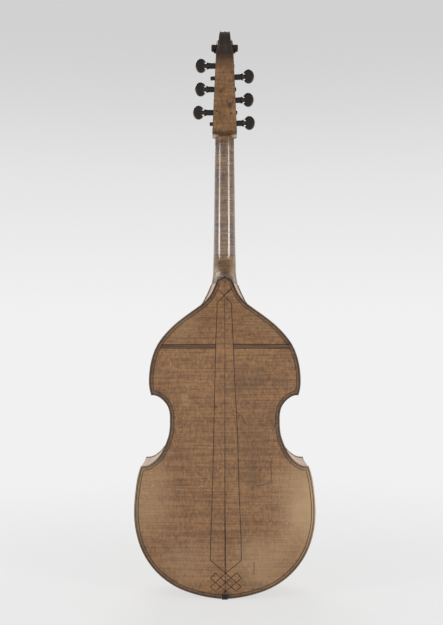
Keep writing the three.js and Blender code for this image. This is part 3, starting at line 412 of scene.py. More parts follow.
def plate(name, node, faces_y, surface, material, thickness, rounding, spacing, fold=None):
    """One half of a plate as a dense closed shell over its solid, with rounded edges."""
    loops = [smoothed(line, EDGE_STEP)[0] for line in loops_of(node, faces_y)]
    rims = []
    for number, line in enumerate(loops):
        reach = rounding if number == 0 else -HOLE_ROUNDING * rounding
        rim = inward(line, reach)
        kept = distance_to(rim, [line]) > 0.95 * abs(reach)
        loops[number] = line[kept]
        rims.append(rim[kept])
    flat, where, triangles = filled(rims, spacing, fold)
    shell = bmesh.new()
    vertices = {}

    def vertex(layer, index, xz, depth):
        """A vertex so far under the outer face, made once for each layer and index."""
        if (layer, index) not in vertices:
            x, z = float(xz[0]), float(xz[1])
            vertices[layer, index] = shell.verts.new((x, surface(x, z) - faces_y * depth, z))
        return vertices[layer, index]

    for corners in triangles:
        for layer, depth in (("outer", 0.0), ("inner", thickness)):
            shell.faces.new([vertex(layer, i, flat[i], depth) for i in corners])
    first = 0
    for number, (rim, line) in enumerate(zip(rims, loops)):
        count = len(rim)
        rows = [("outer", 0.0, 1.0)]
        rows += [(("upper", number, back), down * rounding, back) for back, down in ROUND_STEPS]
        rows += [(("lower", number, back), thickness - down * rounding, back)
                 for back, down in reversed(ROUND_STEPS)]
        rows.append(("inner", thickness, 1.0))
        rings = []
        for layer, depth, back in rows:
            ring = line + (rim - line) * back
            own = layer in ("outer", "inner")
            rings.append([vertex(layer, where[first + i] if own else i, ring[i], depth)
                          for i in range(count)])
        zip_up(shell, rings)
        first += count
    piece = made(name, shell, "viol", material, 40, [node])
    attribute = piece.data.attributes.new("from_edge", "FLOAT", "POINT")
    flat_places = np.array([v.co.xz[:] for v in piece.data.vertices])
    attribute.data.foreach_set(
        "value", distance_to(flat_places, loops, but_joint=True).astype(np.float32))
    return piece


back_flat_y = cad_high.y
back_corners = [v.co for v in nodes["back_treble_half"].data.vertices]
bend_z = max(c.z for c in back_corners if c.y > back_flat_y - SAME_PLACE)
top_z = max(c.z for c in back_corners)
top_y = max(c.y for c in back_corners if c.z > top_z - SAME_PLACE)
back_slope = (back_flat_y - top_y) / (top_z - bend_z)


def back_y(x, z):
    """The outer face of the back: flat, and bent forward above the bend."""
    return back_flat_y - max(0.0, z - bend_z) * back_slope


DIRT_AND_SHADE_REACH = 9.5 * MM
# how dark the rounded rim is painted: dirt and painted shade
RIM_DIRT_AND_PAINTED_SHADE = 0.45
BUTTON_FROM, BUTTON_TO = 590 * MM, 640 * MM


def dirty_and_shaded_edge(strength, at_the_neck):
    """Dirt and old polish along the edge of a plate, over its purfling and up to its button, and
    dirt with painted shade on its rounded rim.
    """
    def shade(wood, spots):
        from_edge = wood.add("ShaderNodeAttribute", {"attribute_name": "from_edge"}, out="Fac")
        uneven = from_edge + (spots - 0.5) * (4 * MM)
        near = 1 - uneven.rising(0.75 * DIRT_AND_SHADE_REACH, 1.2 * DIRT_AND_SHADE_REACH)
        uneven_tip = from_edge + (spots - 0.5) * (6 * MM)
        near_tip = 1 - uneven_tip.rising(0.35 * DIRT_AND_SHADE_REACH, 0.75 * DIRT_AND_SHADE_REACH)
        button = wood.along("Z").rising(BUTTON_FROM, BUTTON_TO)
        # painted shade with dirt on the outermost rim, where the rounded edge turns away from the
        # light
        rim = 1 - from_edge.rising(0.1 * DIRT_AND_SHADE_REACH, 0.4 * DIRT_AND_SHADE_REACH)
        dirt_and_shade = near * strength + rim * RIM_DIRT_AND_PAINTED_SHADE
        return dirt_and_shade.math("MAXIMUM", dirt_and_shade, near_tip * button * at_the_neck)
    return shade


BLACK = (0.004, 0.003, 0.002)
SMUDGE = (0.05, 0.028, 0.014)
WORN = (0.50, 0.33, 0.18)
BACK_MARKS = [
    # worm holes, one of them with a pale rim, and the pin of the button
    ((-71, 61, 344.2), (3.4, 6, 2.6), 0.6, WORN),
    *[((x, back_y(0, z * MM) / MM, z), (1.5, 4, 1.5), 0.9, BLACK) for x, z in (
        (-71, 344.6), (10, 322), (130.8, 121), (79, 119), (57.8, 431.4), (-50, 547), (-50, 536.8),
        (0.3, 648.5))],
    # scuffed patches, and broad paler patches over the lower and upper parts of the back
    ((84, 61, 411), (9, 20, 11), 0.18, WORN), ((77, 61, 396), (11, 20, 5), 0.18, WORN),
    ((165, 61, 215), (90, 40, 140), 0.36, WORN, 0.9),
    ((-190, 61, 190), (125, 40, 165), 0.85, WORN, 0.9),
    ((-75, 61, 75), (90, 40, 80), 0.48, WORN, 0.9), ((75, 61, 75), (80, 40, 70), 0.28, WORN, 0.9),
    ((105, 50, 565), (80, 40, 70), 0.24, WORN, 0.9),
    ((-80, 52, 570), (60, 40, 50), 0.12, WORN, 0.9),
    # dark spots at the button and two faint stains
    ((0, 20, 642), (11, 30, 12), 0.35, BLACK, 0.9), ((-2, 20, 646), (2, 30, 2), 0.8, BLACK),
    ((-55, 61, 300), (48, 20, 95), 0.22, SMUDGE), ((-48, 61, 445), (40, 20, 50), 0.16, SMUDGE),
]
back_maple = maple(
    "varnished_back_maple", pale=(0.335, 0.171, 0.071), dark=(0.13, 0.061, 0.024),
    across=(13, 60, 440), grain=(270, 270, 130), flame=0.38, broad=0.05, fine=0.36, cloud=0.28,
    scuffs=0.5, blots=BACK_MARKS, shade=dirty_and_shaded_edge(0.38, 0.9))
for side in ("treble", "bass"):
    plate(f"back_{side}", f"back_{side}_half", 1, back_y, back_maple,
          thickness=3.5 * MM, rounding=1.2 * MM, spacing=7 * MM, fold=bend_z)


# Purfling and strapwork of the back
# Thin strips of dark stained wood let into grooves of the back: two lines along the edge, a
# filled band across the bend, and straps that run down the middle and are knotted near the tail.
LINE_STEP = 2 * MM
SHORTEST_STRETCH = 50 * MM
CLEAR_OF_JOINT = 30 * MM
MITRE_REACH = 30 * MM


def edge_stretches(node, faces_y):
    """The curved edge of a half plate, cut at its sharp corners and without the middle joint."""
    points, sharp = smoothed(loops_of(node, faces_y)[0], LINE_STEP)
    corners = np.flatnonzero(sharp)
    found = []
    for a, b in zip(corners, [*corners[1:], corners[0] + len(points)]):
        line = points[np.arange(a, b + 1) % len(points)]
        length = np.linalg.norm(np.diff(line, axis=0), axis=1).sum()
        if length > SHORTEST_STRETCH and np.abs(line[:, 0]).max() > CLEAR_OF_JOINT:
            found.append(line)
    return found


def beside(line, distance, loop, mitres):
    """A line beside one stretch of the edge. At a mitre it stops where its neighbour begins."""
    normal = left_of(unit(np.gradient(line, axis=0)))
    middle = len(line) // 2
    if not inside(loop, line[middle:middle + 1] + normal[middle] * 3 * MM)[0]:
        normal = -normal
    moved = line + normal * distance
    keep = np.ones(len(line), bool)
    for corner, bisector in mitres:
        off = moved - corner
        own_side = cross_of(bisector, line[middle] - corner)
        far = np.linalg.norm(off, axis=1) > MITRE_REACH
        keep &= far | (cross_of(bisector, off) * own_side > 0)
    return moved[keep]


STRIP_DEPTH = 0.5 * MM
STRIP_STEP = 6 * MM


def strip(shell, line, width, surface, faces_y, proud=0.06 * MM):
    """One inlaid strip along a line of X and Z, a hair proud of the wood it is let into."""
    line = [np.array(p, float) for p in line]
    dense = [line[0]]
    for a, b in zip(line, line[1:]):
        parts = max(1, int(np.linalg.norm(b - a) / STRIP_STEP))
        stops = {k / parts for k in range(1, parts + 1)}
        if (a[1] - bend_z) * (b[1] - bend_z) < 0:
            stops.add((bend_z - a[1]) / (b[1] - a[1]))
        dense += [a + (b - a) * t for t in sorted(stops)]
    dense = np.array(dense)
    normals = left_of(unit(np.diff(dense, axis=0)))
    before, after = np.vstack([normals[:1], normals]), np.vstack([normals, normals[-1:]])
    middle = unit(before + after)
    reach = width / 2 / np.maximum(0.5, (middle * before).sum(1))
    rings = []
    for p, out in zip(dense, middle * reach[:, None]):
        ring = []
        for side, height in ((-1, proud), (1, proud), (1, -STRIP_DEPTH), (-1, -STRIP_DEPTH)):
            x, z = p + out * side
            ring.append(shell.verts.new((x, surface(x, z) + faces_y * height, z)))
        rings.append(ring)
    zip_up(shell, rings)
    shell.faces.new(rings[0])
    shell.faces.new(rings[-1])


PURFLING_FROM_EDGE = (3.6 * MM, 8.4 * MM)
PURFLING_WIDTH = 1.25 * MM
PURFLING_FROM_JOINT = 0.3 * MM


def purfling(name, node, faces_y, surface, material):
    """Two lines along the curved edge of a half plate, mitred where two stretches meet."""
    shell = bmesh.new()
    loop = loops_of(node, faces_y)[0]
    stretches = edge_stretches(node, faces_y)
    ends = [[(line[0], line[3] - line[0]), (line[-1], line[-4] - line[-1])] for line in stretches]
    for number, line in enumerate(stretches):
        mitres = []
        for corner, along in ends[number]:
            for other_number, pair in enumerate(ends):
                for other_corner, other in pair:
                    apart = np.linalg.norm(other_corner - corner)
                    if other_number != number and apart < SAME_PLACE:
                        bisector = along / np.linalg.norm(along) + other / np.linalg.norm(other)
                        mitres.append((corner, bisector))
        for distance in PURFLING_FROM_EDGE:
            moved = beside(line, distance, loop, mitres)
            kept = moved[np.abs(moved[:, 0]) > PURFLING_FROM_JOINT]
            strip(shell, kept, PURFLING_WIDTH, surface, faces_y)
    made(name, shell, "viol", material)


def fibrous(name, waves, dark, pale, detail=3.0, relief=None, **gloss):
    """A plain finish with fibres in two tones. Relief is the depth and strength of its bump."""
    wood = Finish(name, **gloss)
    fibres = wood.noise(waves, detail=detail)
    if relief:
        wood.bump(fibres, *relief)
    return wood.paint(wood.mixed(fibres.rising(0.3, 0.7), dark, pale))


dark_strip = fibrous("stained_strip", (240, 240, 240), (0.010, 0.006, 0.004),
                     (0.034, 0.018, 0.010), roughness=0.5, coat=0.1, shine=0.3)
for side in ("treble", "bass"):
    purfling(f"purfling_back_{side}", f"back_{side}_half", 1, back_y, dark_strip)

# The straps, from place to place, in millimetres of X and Z
STRAP_WIDTH = 1.45
STRAPS = [
    [(15.4, 602.6), (18.5, 514.5), (20.1, 445.6), (23.1, 299.6), (26, 192.1), (29, 106.9),
     (29.4, 80.2), (-1.8, 53.8)],
    [(-13.5, 602.6), (-17.2, 514.5), (-20.1, 445.6), (-26.2, 330), (-28.4, 236.7), (-32.6, 131.3),
     (-33.5, 79.8), (-1.8, 53.8)],
    [(-13.7, 601.8), (13.1, 631.3)], [(15.4, 603.1), (-12.8, 633.7)],
    [(-1, 620.2), (-14.9, 632.2)],
    [(18.9, 54), (29.2, 43.5), (-2, 17.3), (-8.3, 11)],
    [(18.9, 54), (-2, 35.1), (-22.9, 17.3), (-33.3, 26.2), (-1.8, 53.8)],
    [(-23.7, 54), (-34.1, 43.9), (-2, 17.3), (6.5, 10.4)],
    [(-23.7, 54), (-2, 35.1), (19.1, 17.3), (29.2, 26), (-1.8, 53.8)],
    [(129.7, 517.6), (18.5, 517.6)], [(131.2, 509.9), (18.7, 509.9)],
    [(-17.9, 517.6), (-132.1, 517.6)], [(-18, 509.9), (-133.2, 509.9)],
]


def in_metres(line):
    return [(x * MM, z * MM) for x, z in line]


def let_into_the_back(name, lines, material=dark_strip, proud=0.06 * MM):
    """One piece of strips in the back, from their lines and widths in millimetres."""
    shell = bmesh.new()
    for line, width in lines:
        strip(shell, in_metres(line), width * MM, back_y, 1, proud)
    made(name, shell, "viol", material)


let_into_the_back("strapwork_of_the_back", [(line, STRAP_WIDTH) for line in STRAPS])

walnut = fibrous("band_of_walnut", (20, 400, 400), (0.08, 0.043, 0.021), (0.17, 0.09, 0.045),
                 roughness=0.5, coat=0.1, shine=0.3)
let_into_the_back("band_across_the_bend", [
    (line, width) for z, width in ((511.7, 2.6), (515, 4))
    for line in ([(130.4, z), (18.6, z)], [(-18, z), (-132.7, z)])], walnut, 0.03 * MM)

let_into_the_back("middle_joint_of_the_back", [
    ([(0, 612), (-0.3, 340)], 0.5), ([(-0.3, 340), (-0.8, 160)], 0.95),
    ([(-0.8, 160), (-1.5, 54)], 1.7), ([(-1.5, 54), (-1.7, 10)], 0.8)])

# Old cracks of the back, glued and filled
CRACK_WIDTH = 0.95
CRACKS = [
    [(-94.3, 285.4), (-93.1, 271.2), (-94.7, 255), (-93.5, 238.7), (-86, 235.4), (-78.1, 233.7),
     (-63.9, 230.6)],
    [(-58.8, 76.5), (-59.6, 64.3), (-58.6, 50.1)],
    [(-15.2, 384.8), (-25.3, 379.7), (-34.5, 370.6), (-41.6, 356.4)],
]
let_into_the_back(
    "filled_cracks_of_the_back", [(line, CRACK_WIDTH) for line in CRACKS], proud=0.02 * MM)


# The ribs
# Six bent strips of maple, two millimetres thick, with their flames upright between the plates.
def dressed(name, material, smooth_degrees=38, ease=0.0):
    """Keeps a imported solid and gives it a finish, smooth faces and, if asked, eased edges."""
    piece = nodes[name]
    piece.data.materials.clear()
    piece.data.materials.append(material)
    piece.data.polygons.foreach_set("use_smooth", [True] * len(piece.data.polygons))
    if "custom_normal" in piece.data.attributes:
        piece.data.attributes.remove(piece.data.attributes["custom_normal"])
    piece.modifiers.new("weld", "WELD").merge_threshold = SAME_PLACE
    if ease:
        rounding = piece.modifiers.new("ease", "BEVEL")
        rounding.width = ease
        rounding.segments = 2
        rounding.limit_method = "ANGLE"
        rounding.angle_limit = math.radians(40)
    piece.modifiers.new("edges", "EDGE_SPLIT").split_angle = math.radians(smooth_degrees)


# Paler than the maple of the back: painted light, standing in for the light that the ribs catch at
# the corners
rib_maple_painted_paler = maple(
    "varnished_rib_maple_painted_paler", pale=(0.56, 0.31, 0.14), dark=(0.33, 0.165, 0.068),
    across=(160, 6, 160), grain=(9, 500, 9), flame=0.4, broad=0.3, fine=0.2, cloud=0.3,
    scuffs=0.15, roughness=0.33)
for place in ("upper", "center", "lower"):
    for side in ("treble", "bass"):
        dressed(f"{place}_rib_{side}", rib_maple_painted_paler)


# The belly
# Two quarter-sawn halves of spruce, arched, with close straight grain and a C-shaped sound hole
# each, and the same double line of purfling round its edge.
def spruce(name, pale, dark, shade):
    """Straight-grained spruce under varnish, its year rings standing upright side by side."""
    wood = Finish(name, coat=0.3, coat_roughness=0.18, shine=0.4)
    rings = wood.add("ShaderNodeTexWave", {"wave_type": "BANDS", "bands_direction": "X"}, {
        "Vector": wood.stretched((1, 1, 0.02)), "Scale": 150.0, "Distortion": 1.6, "Detail": 2.0,
        "Detail Scale": 0.6}, out="Fac")
    fibres = wood.noise((700, 700, 10), detail=2.0)
    clouds = wood.noise((12, 12, 9), detail=4.0, roughness=0.6)
    tone = (0.5 + (0.5 - rings.rising(0.45, 1.0)) * 0.42 + (fibres - 0.5) * 0.3
            + (clouds - 0.5) * 1.1)
    colour = wood.mixed(tone.rising(0.0, 1.0), dark, pale)
    # dirt and painted shade along the edge
    colour = wood.mixed(shade(wood, clouds), colour, DIRT_AND_PAINTED_SHADE)
    wood.bump(rings * 0.4 + fibres * 0.6, 0.1 * MM, 0.4)
    return wood.paint(colour, 0.36 + (clouds - 0.5) * 0.2)


BELLY_EDGE_Y = -61 * MM
ARCH_HEIGHT = 16 * MM
ARCH_FULLNESS = 1.4
ARCH_HALF_WIDTH = 184.2 * MM
ARCH_FOOT = 1 * MM
# How far out the arching reaches: shares of the belly's height and half width
ARCH_REACH = [
    (0, 0.2), (0.02, 0.3), (0.06, 0.58), (0.12, 0.77), (0.2, 0.89), (0.28, 0.925), (0.36, 0.87),
    (0.44, 0.69), (0.5, 0.57), (0.56, 0.55), (0.62, 0.62), (0.68, 0.74), (0.74, 0.75),
    (0.8, 0.65), (0.86, 0.47), (0.93, 0.22), (1, 0.12)]
belly_top_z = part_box("belly_treble_half")[1].z


def read(table, value):
    """A smooth line through the rows of a table, read at a value of its first column."""
    k = int(np.clip(np.searchsorted([row[0] for row in table], value) - 1, 0, len(table) - 2))
    around = [table[min(max(i, 0), len(table) - 1)][1] for i in range(k - 1, k + 3)]
    return between(*around, (value - table[k][0]) / (table[k + 1][0] - table[k][0]))


def belly_y(x, z):
    """The outer face of the belly: an arch that runs out towards the edges."""
    rise = min(1.0, max(0.0, (z - ARCH_FOOT) / (belly_top_z - ARCH_FOOT)))
    out = min(1.0, abs(x) / (read(ARCH_REACH, rise) * ARCH_HALF_WIDTH))
    along = 1 - (1 - math.sin(math.pi * rise)) ** 2
    return BELLY_EDGE_Y - ARCH_HEIGHT * along * (1 - out * out) ** ARCH_FULLNESS


def face_of(piece, faces_y):
    """The outer face of a finished plate, felt from outside at any X and Z."""
    faces = BVHTree.FromPolygons(
        [v.co for v in piece.data.vertices], [tuple(p.vertices) for p in piece.data.polygons])

    def height(x, z):
        hit = faces.ray_cast(Vector((x, faces_y, z)), Vector((0, -faces_y, 0)))[0]
        return hit.y if hit else belly_y(x, z)
    return height


belly_spruce = spruce("varnished_spruce", pale=(0.50, 0.265, 0.095), dark=(0.235, 0.105, 0.034),
                      shade=dirty_and_shaded_edge(0.25, 0.0))
for side in ("treble", "bass"):
    half = plate(f"belly_{side}", f"belly_{side}_half", -1, belly_y, belly_spruce,
                 thickness=4 * MM, rounding=1.3 * MM, spacing=6 * MM)
    purfling(f"purfling_belly_{side}", f"belly_{side}_half", -1, face_of(half, -1), dark_strip)


# Inside wood
# Blocks, linings, braces, bass bar and soundpost of plain unvarnished willow and spruce.
bare_wood = fibrous("bare_inside_wood", (300, 300, 12), (0.42, 0.25, 0.12), (0.60, 0.40, 0.21),
                    relief=(0.2 * MM, 0.5), roughness=0.75, shine=0.3)
for name in nodes:
    if any(word in name for word in ("block", "lining", "brace", "soundpost", "bass_bar")):
        dressed(name, bare_wood)


# The neck
# One piece of maple with its heel, round at the back, worn smooth and paler by the hand, with a
# painted sheen on the flanks of its heel. Two plugged nail holes show in the heel, where an old
# neck was held, with a painted highlight on one plug.
def worn_by_the_hand(wood):
    """Varnish that shines most low down on the neck and is dull at its head and heel."""
    height = wood.along("Z")
    above_the_heel = height.rising(688 * MM, 722 * MM)
    handled = 1 - height.rising(760 * MM, 900 * MM) * 0.45
    under_the_head = 1 - height.rising(938 * MM, 952 * MM)
    return 0.1 + above_the_heel * handled * under_the_head * 0.9


# a pale tone for painted light: a lit underside and a highlight
PAINTED_LIGHT_TONE = (0.66, 0.50, 0.33)
# pale wear with a painted sheen
PALE_WEAR_AND_PAINTED_SHEEN = (0.80, 0.63, 0.44)
NECK_MARKS = [
    # the plugged nail holes, and a painted highlight on one plug
    ((1.4, 5, 693), (2.2, 30, 2.2), 0.9, BLACK), ((-1.2, 12, 675.6), (2.4, 30, 2.4), 0.9, BLACK),
    ((-4.5, 12, 671.5), (2, 30, 2), 0.9, PAINTED_LIGHT_TONE),
    # the worn flanks of the heel, painted paler with a painted sheen, and its dark middle
    *[((side * 25, 0, 686), (21, 90, 50), 0.9, PALE_WEAR_AND_PAINTED_SHEEN, 0.9) for side in (1, -1)],
    ((0, 12, 672), (5, 40, 26), 0.5, SMUDGE, 0.9)]
neck_maple = maple(
    "varnished_neck_maple", pale=(0.275, 0.146, 0.063), dark=(0.05, 0.024, 0.010),
    across=(30, 30, 300), grain=(400, 400, 60), flame=0.42, broad=0.25, fine=0.25, cloud=0.45,
    scuffs=0.35, blots=NECK_MARKS, roughness=0.28, coat_roughness=0.12, coat_ior=1.8,
    polish=worn_by_the_hand)
dressed("neck", neck_maple, 50)


# Pegbox and scroll
# Carved from one block of maple: an open box with its floor at the back, bored for six pegs, and
# over it a scroll that is fluted along its back and winds twice round to its eyes.
def skin(rings):
    """A closed shell over a row of rings of places, triangulated at both ends."""
    shell = bmesh.new()
    rows = [[shell.verts.new(p) for p in ring] for ring in rings]
    zip_up(shell, rows)
    ends = [shell.faces.new(rows[0]), shell.faces.new(rows[-1])]
    bmesh.ops.triangulate(shell, faces=ends)
    bmesh.ops.recalc_face_normals(shell, faces=shell.faces)
    return shell


def circle(centre, side, up, radius, sides):
    """Places round a centre, from the way of side towards the way up."""
    angles = [2 * math.pi * k / sides for k in range(sides)]
    return [centre + (side * math.cos(a) + up * math.sin(a)) * radius for a in angles]


def turned(profile, start, along):
    """A shell turned round an axis, from places along it and radii there."""
    side = along.cross(Vector((0, 0, 1))).normalized()
    up = side.cross(along)
    return skin([circle(start + along * place, side, up, radius, sides=40)
                 for place, radius in profile])


def hollowed(block, tools):
    """A block with the spaces of other closed shells cut out of it, one after another."""
    blanks = []
    for shell in (block, *tools):
        mesh = bpy.data.meshes.new("blank")
        shell.to_mesh(mesh)
        shell.free()
        blanks.append(bpy.data.objects.new("blank", mesh))
        bpy.context.scene.collection.objects.link(blanks[-1])
    for tool in blanks[1:]:
        cut = blanks[0].modifiers.new("cut", "BOOLEAN")
        cut.operation, cut.object, cut.solver = "DIFFERENCE", tool, "EXACT"
    bpy.context.view_layer.update()
    result = bmesh.new()
    result.from_object(blanks[0], bpy.context.evaluated_depsgraph_get())
    for blank in blanks:
        bpy.data.objects.remove(blank)
    bmesh.ops.remove_doubles(result, verts=result.verts, dist=SAME_PLACE)
    return result


def together(*shells):
    """Several closed shells as one."""
    whole = bmesh.new()
    for shell in shells:
        mesh = bpy.data.meshes.new("part")
        shell.to_mesh(mesh)
        shell.free()
        whole.from_mesh(mesh)
        bpy.data.meshes.remove(mesh)
    return whole


NUT_Z = 964 * MM
PEGBOX_HEIGHT = 163 * MM
PEGBOX_TOP_Z = NUT_Z + PEGBOX_HEIGHT
# Place of its back, depth, width and wall, in millimetres at the nut and at the top
PEGBOX_BACK = (-15, 10)
PEGBOX_DEPTH = (48, 35)
PEGBOX_WIDTH = (53, 37)
PEGBOX_WALL = (8, 6.5)
PEGBOX_FLOOR = 8 * MM
PEGBOX_CORNER = 2.5 * MM
HOLLOW_CORNER = 1.2 * MM
HOLLOW_FOOT = 9 * MM
HOLLOW_HEAD = 13 * MM
THROAT_WALL = 8.2 * MM
THROAT_DEPTH = 11.5 * MM
THROAT_TOP = 9.2 * MM
BEYOND = 30 * MM


def size_at(z, ends):
    """A size of the box at a height, from its sizes at the nut and at the top."""
    at_nut, at_top = ends
    return (at_nut + (at_top - at_nut) * ((z - NUT_Z) / PEGBOX_HEIGHT)) * MM


def box_front(z):
    return size_at(z, PEGBOX_BACK) - size_at(z, PEGBOX_DEPTH)


def box_half(z):
    return size_at(z, PEGBOX_WIDTH) / 2


def box_ring(z, half, back, front, corner):
    """A section of the box with two rounded corners at its back and eased ones at its front."""
    right = [(half - 0.5 * MM, front), (half, front + 0.5 * MM)]
    right += [(half - corner * (1 - math.cos(a)), back - corner * (1 - math.sin(a)))
              for a in np.linspace(0, math.pi / 2, 5)]
    return [(x, y, z) for x, y in right] + [(-x, y, z) for x, y in reversed(right)]


def outside_ring(z, less):
    """A section of the outside of the box, made smaller all round where it is rounded off."""
    return box_ring(z, box_half(z) - less, size_at(z, PEGBOX_BACK) - less / 2,
                    box_front(z) + less / 2, PEGBOX_CORNER)


def hollow_ring(z):
    """A section of the room for the strings. It is open towards the front."""
    half = box_half(z) - size_at(z, PEGBOX_WALL)
    floor_y = size_at(z, PEGBOX_BACK) - PEGBOX_FLOOR
    return box_ring(z, half, floor_y, box_front(z) - BEYOND, HOLLOW_CORNER)


def throat_ring(z):
    """A section of the way in for the strings, over the nut."""
    half = box_half(NUT_Z) - THROAT_WALL
    front = box_front(NUT_Z)
    return box_ring(z, half, front + THROAT_DEPTH, front - BEYOND, HOLLOW_CORNER)


box = skin([outside_ring(NUT_Z + up * MM, less * MM) for up, less in (
    (0, 3.4), (0.4, 2.1), (1.2, 0.9), (2.4, 0.2), (4, 0), (163, 0), (171, 2))])
hollow = skin([hollow_ring(z) for z in (NUT_Z + HOLLOW_FOOT, PEGBOX_TOP_Z - HOLLOW_HEAD)])
throat = skin([throat_ring(z) for z in (NUT_Z - BEYOND, NUT_Z + THROAT_TOP)])

SCROLL_Y = -23 * MM
SCROLL_Z = NUT_Z + 184 * MM
SCROLL_RADIUS = 36.3 * MM
SCROLL_HALF = 28.5 * MM
SCROLL_EDGE = 0.7 * MM
SCROLL_DISH = 0.9 * MM
FLUTE_DEPTH = 1.5 * MM
EYE_RADIUS = 7.6 * MM
# The scroll at each quarter turn inwards, from its root: radius and half width in shares
TURN_RADII = [(-0.4, 1.07), (0, 1.07), (1, 0.925), (2, 0.84), (3, 0.67), (4, 0.55), (5, 0.44),
              (6, 0.355), (7, 0.29), (8, 0.22)]
TURN_HALVES = [(-0.4, 0.655), (0, 0.455), (1, 0.325), (2, 0.305), (3, 0.37), (4, 0.5), (5, 0.59),
               (6, 0.7), (7, 0.81), (8, 0.92)]


def scroll(low, high):
    """The scroll between two quarters: fluted outside and dished at its sides."""
    rings = []
    for quarter in np.linspace(low, high, round((high - low) * 16)):
        radius = SCROLL_RADIUS * read(TURN_RADII, quarter)
        half = SCROLL_HALF * read(TURN_HALVES, quarter)
        within = SCROLL_RADIUS * read(TURN_RADII, quarter + 4) if quarter < 4 else 0.8 * EYE_RADIUS
        inner = min(radius - 2 * SCROLL_EDGE, within)
        right = [(half * k / 6, radius - FLUTE_DEPTH * abs(math.sin(math.pi * k / 6)))
                 for k in range(6)]
        right += [(half - SCROLL_EDGE, radius), (half, radius - SCROLL_EDGE)]
        for share in (0.3, 0.55, 0.8):
            right.append((half - SCROLL_DISH * math.sin(math.pi * share),
                          radius - SCROLL_EDGE + (inner - radius + SCROLL_EDGE) * share))
        right += [(half - 0.1 * MM, inner), (half - 0.1 * MM, EYE_RADIUS / 4)]
        whole = right + [(-x, r) for x, r in right[:0:-1]]
        angle = math.pi / 2 * quarter
        rings.append([(x, SCROLL_Y + r * math.cos(angle), SCROLL_Z + r * math.sin(angle))
                      for x, r in whole])
    return skin(rings)


root = -math.asin((SCROLL_Z - PEGBOX_TOP_Z) / (SCROLL_RADIUS * TURN_RADII[0][1])) / (math.pi / 2)
eye_profile = [(-1.0, 0.72), (-0.985, 0.86), (-0.95, 0.96), (-0.9, 1.0), (0.9, 1.0), (0.95, 0.96),
               (0.985, 0.86), (1.0, 0.72)]
eye = turned([(x * SCROLL_HALF, r * EYE_RADIUS) for x, r in eye_profile],
             Vector((0, SCROLL_Y, SCROLL_Z)), Vector((1, 0, 0)))

PEG_THICKNESS = 10.6 * MM
PEG_TAPER = 0.032
PEG_CLEARANCE = 0.12 * MM
PEG_HEAD_WIDTH = 21.3 * MM
PEG_NECK = 2.6 * MM
PEG_BEAD = 4.3 * MM
# Each peg's number, where it enters the box, its axis, and its tip, bead and end along it
pegs = []
for number in range(1, 7):
    joint = frame["joints"][number - 1]
    along = Vector(joint["axis"]).normalized()
    start = Vector(joint["pos_m"])
    reach = [(v.co - start).dot(along) for v in nodes[f"peg_{number}"].data.vertices]
    bead = max(reach) - PEG_HEAD_WIDTH - PEG_NECK - PEG_BEAD
    pegs.append((number, start, along, min(reach), bead, max(reach)))


def peg_radius(place, bead):
    """The shaft's radius at a place along its axis; it tapers from its bead to its tip."""
    return (PEG_THICKNESS - PEG_TAPER * (bead - place)) / 2


BORE_PAST_TIP = 20 * MM
BORE_PAST_CHEEK = 10 * MM
bores = []
for number, start, along, tip, bead, end in pegs:
    profile = [(place, peg_radius(place, bead) + PEG_CLEARANCE)
               for place in (tip - BORE_PAST_TIP, BORE_PAST_CHEEK)]
    bores.append(turned(profile, start, along))
carving = together(hollowed(box, [hollow, throat, *bores]), scroll(root, 8), eye)


def dark_head(wood, spots):
    """Dirt and painted shade over the scroll and the chin of the box, and painted shade along its
    edges.
    """
    height = wood.along("Z")
    narrower = (PEGBOX_WIDTH[0] - PEGBOX_WIDTH[1]) / 2 * MM / PEGBOX_HEIGHT
    aside = wood.along("X")
    cheek = aside.math("ABSOLUTE", aside) + (height - NUT_Z) * narrower
    # painted shade along the eased edges of the cheeks
    edges = cheek.rising(24 * MM, 26 * MM)
    uneven = height + (spots - 0.5) * (12 * MM)
    # the scroll and the chin darker: dirt and painted shade where the back of the box curves away
    top = uneven.rising(1090 * MM, 1130 * MM) * 0.96
    chin = 1 - uneven.rising(NUT_Z + 2 * MM, NUT_Z + 9 * MM)
    rest = edges * 0.55 + chin * 0.6
    return top.math("MAXIMUM", top, rest.math("MINIMUM", rest, 0.85))


PEGBOX_STAINS_AND_PAINTED_LIGHT = [
    ((8, -3, 1051), (5, 30, 4), 0.5, BLACK), ((2, -3, 1054), (6, 30, 3), 0.35, BLACK),
    ((13, -3, 1049), (6, 30, 2), 0.3, BLACK), ((-11, -8, 1022), (7, 30, 8), 0.6, BLACK),
    ((-5, -8, 1030), (3, 30, 6), 0.5, BLACK), ((-17, -8, 1029), (4, 30, 5), 0.5, BLACK),
    ((-2, -8, 1022), (7, 30, 2.4), 0.4, BLACK), ((17, -8, 1010), (2.4, 30, 3.4), 0.6, BLACK),
    ((-13, -9, 1007), (2.4, 30, 2.8), 0.6, BLACK),
    # painted light on the underside of the box on both sides of the neck, as if lit from below
    *[((side * 22, -40, 963), (15, 23, 2.4), 0.95, PAINTED_LIGHT_TONE) for side in (1, -1)]]
pegbox_maple = maple(
    "varnished_pegbox_maple", pale=(0.31, 0.163, 0.071), dark=(0.095, 0.045, 0.020),
    across=(20, 20, 260), grain=(300, 300, 120), flame=0.2, broad=0.14, fine=0.22, cloud=0.42,
    scuffs=0.5, blots=PEGBOX_STAINS_AND_PAINTED_LIGHT, shade=dark_head, roughness=0.42, coat=0.06, shine=0.25)
made("pegbox_with_its_scroll", carving, "viol", pegbox_maple, 30,
     ["pegbox_and_scroll"])


# The pegs
# Each is turned from dark stained pear wood, with a bead and a flat head that hooks back round
# its neck, and is held by friction in its bores.
PEG_HEAD_RADII = (12.3 * MM, 15.3 * MM)
PEG_HEAD_HALF = 4.5 * MM
PEG_HEAD_ROUNDING = 3.3 * MM
PEG_HEAD_SPACING = 0.9 * MM
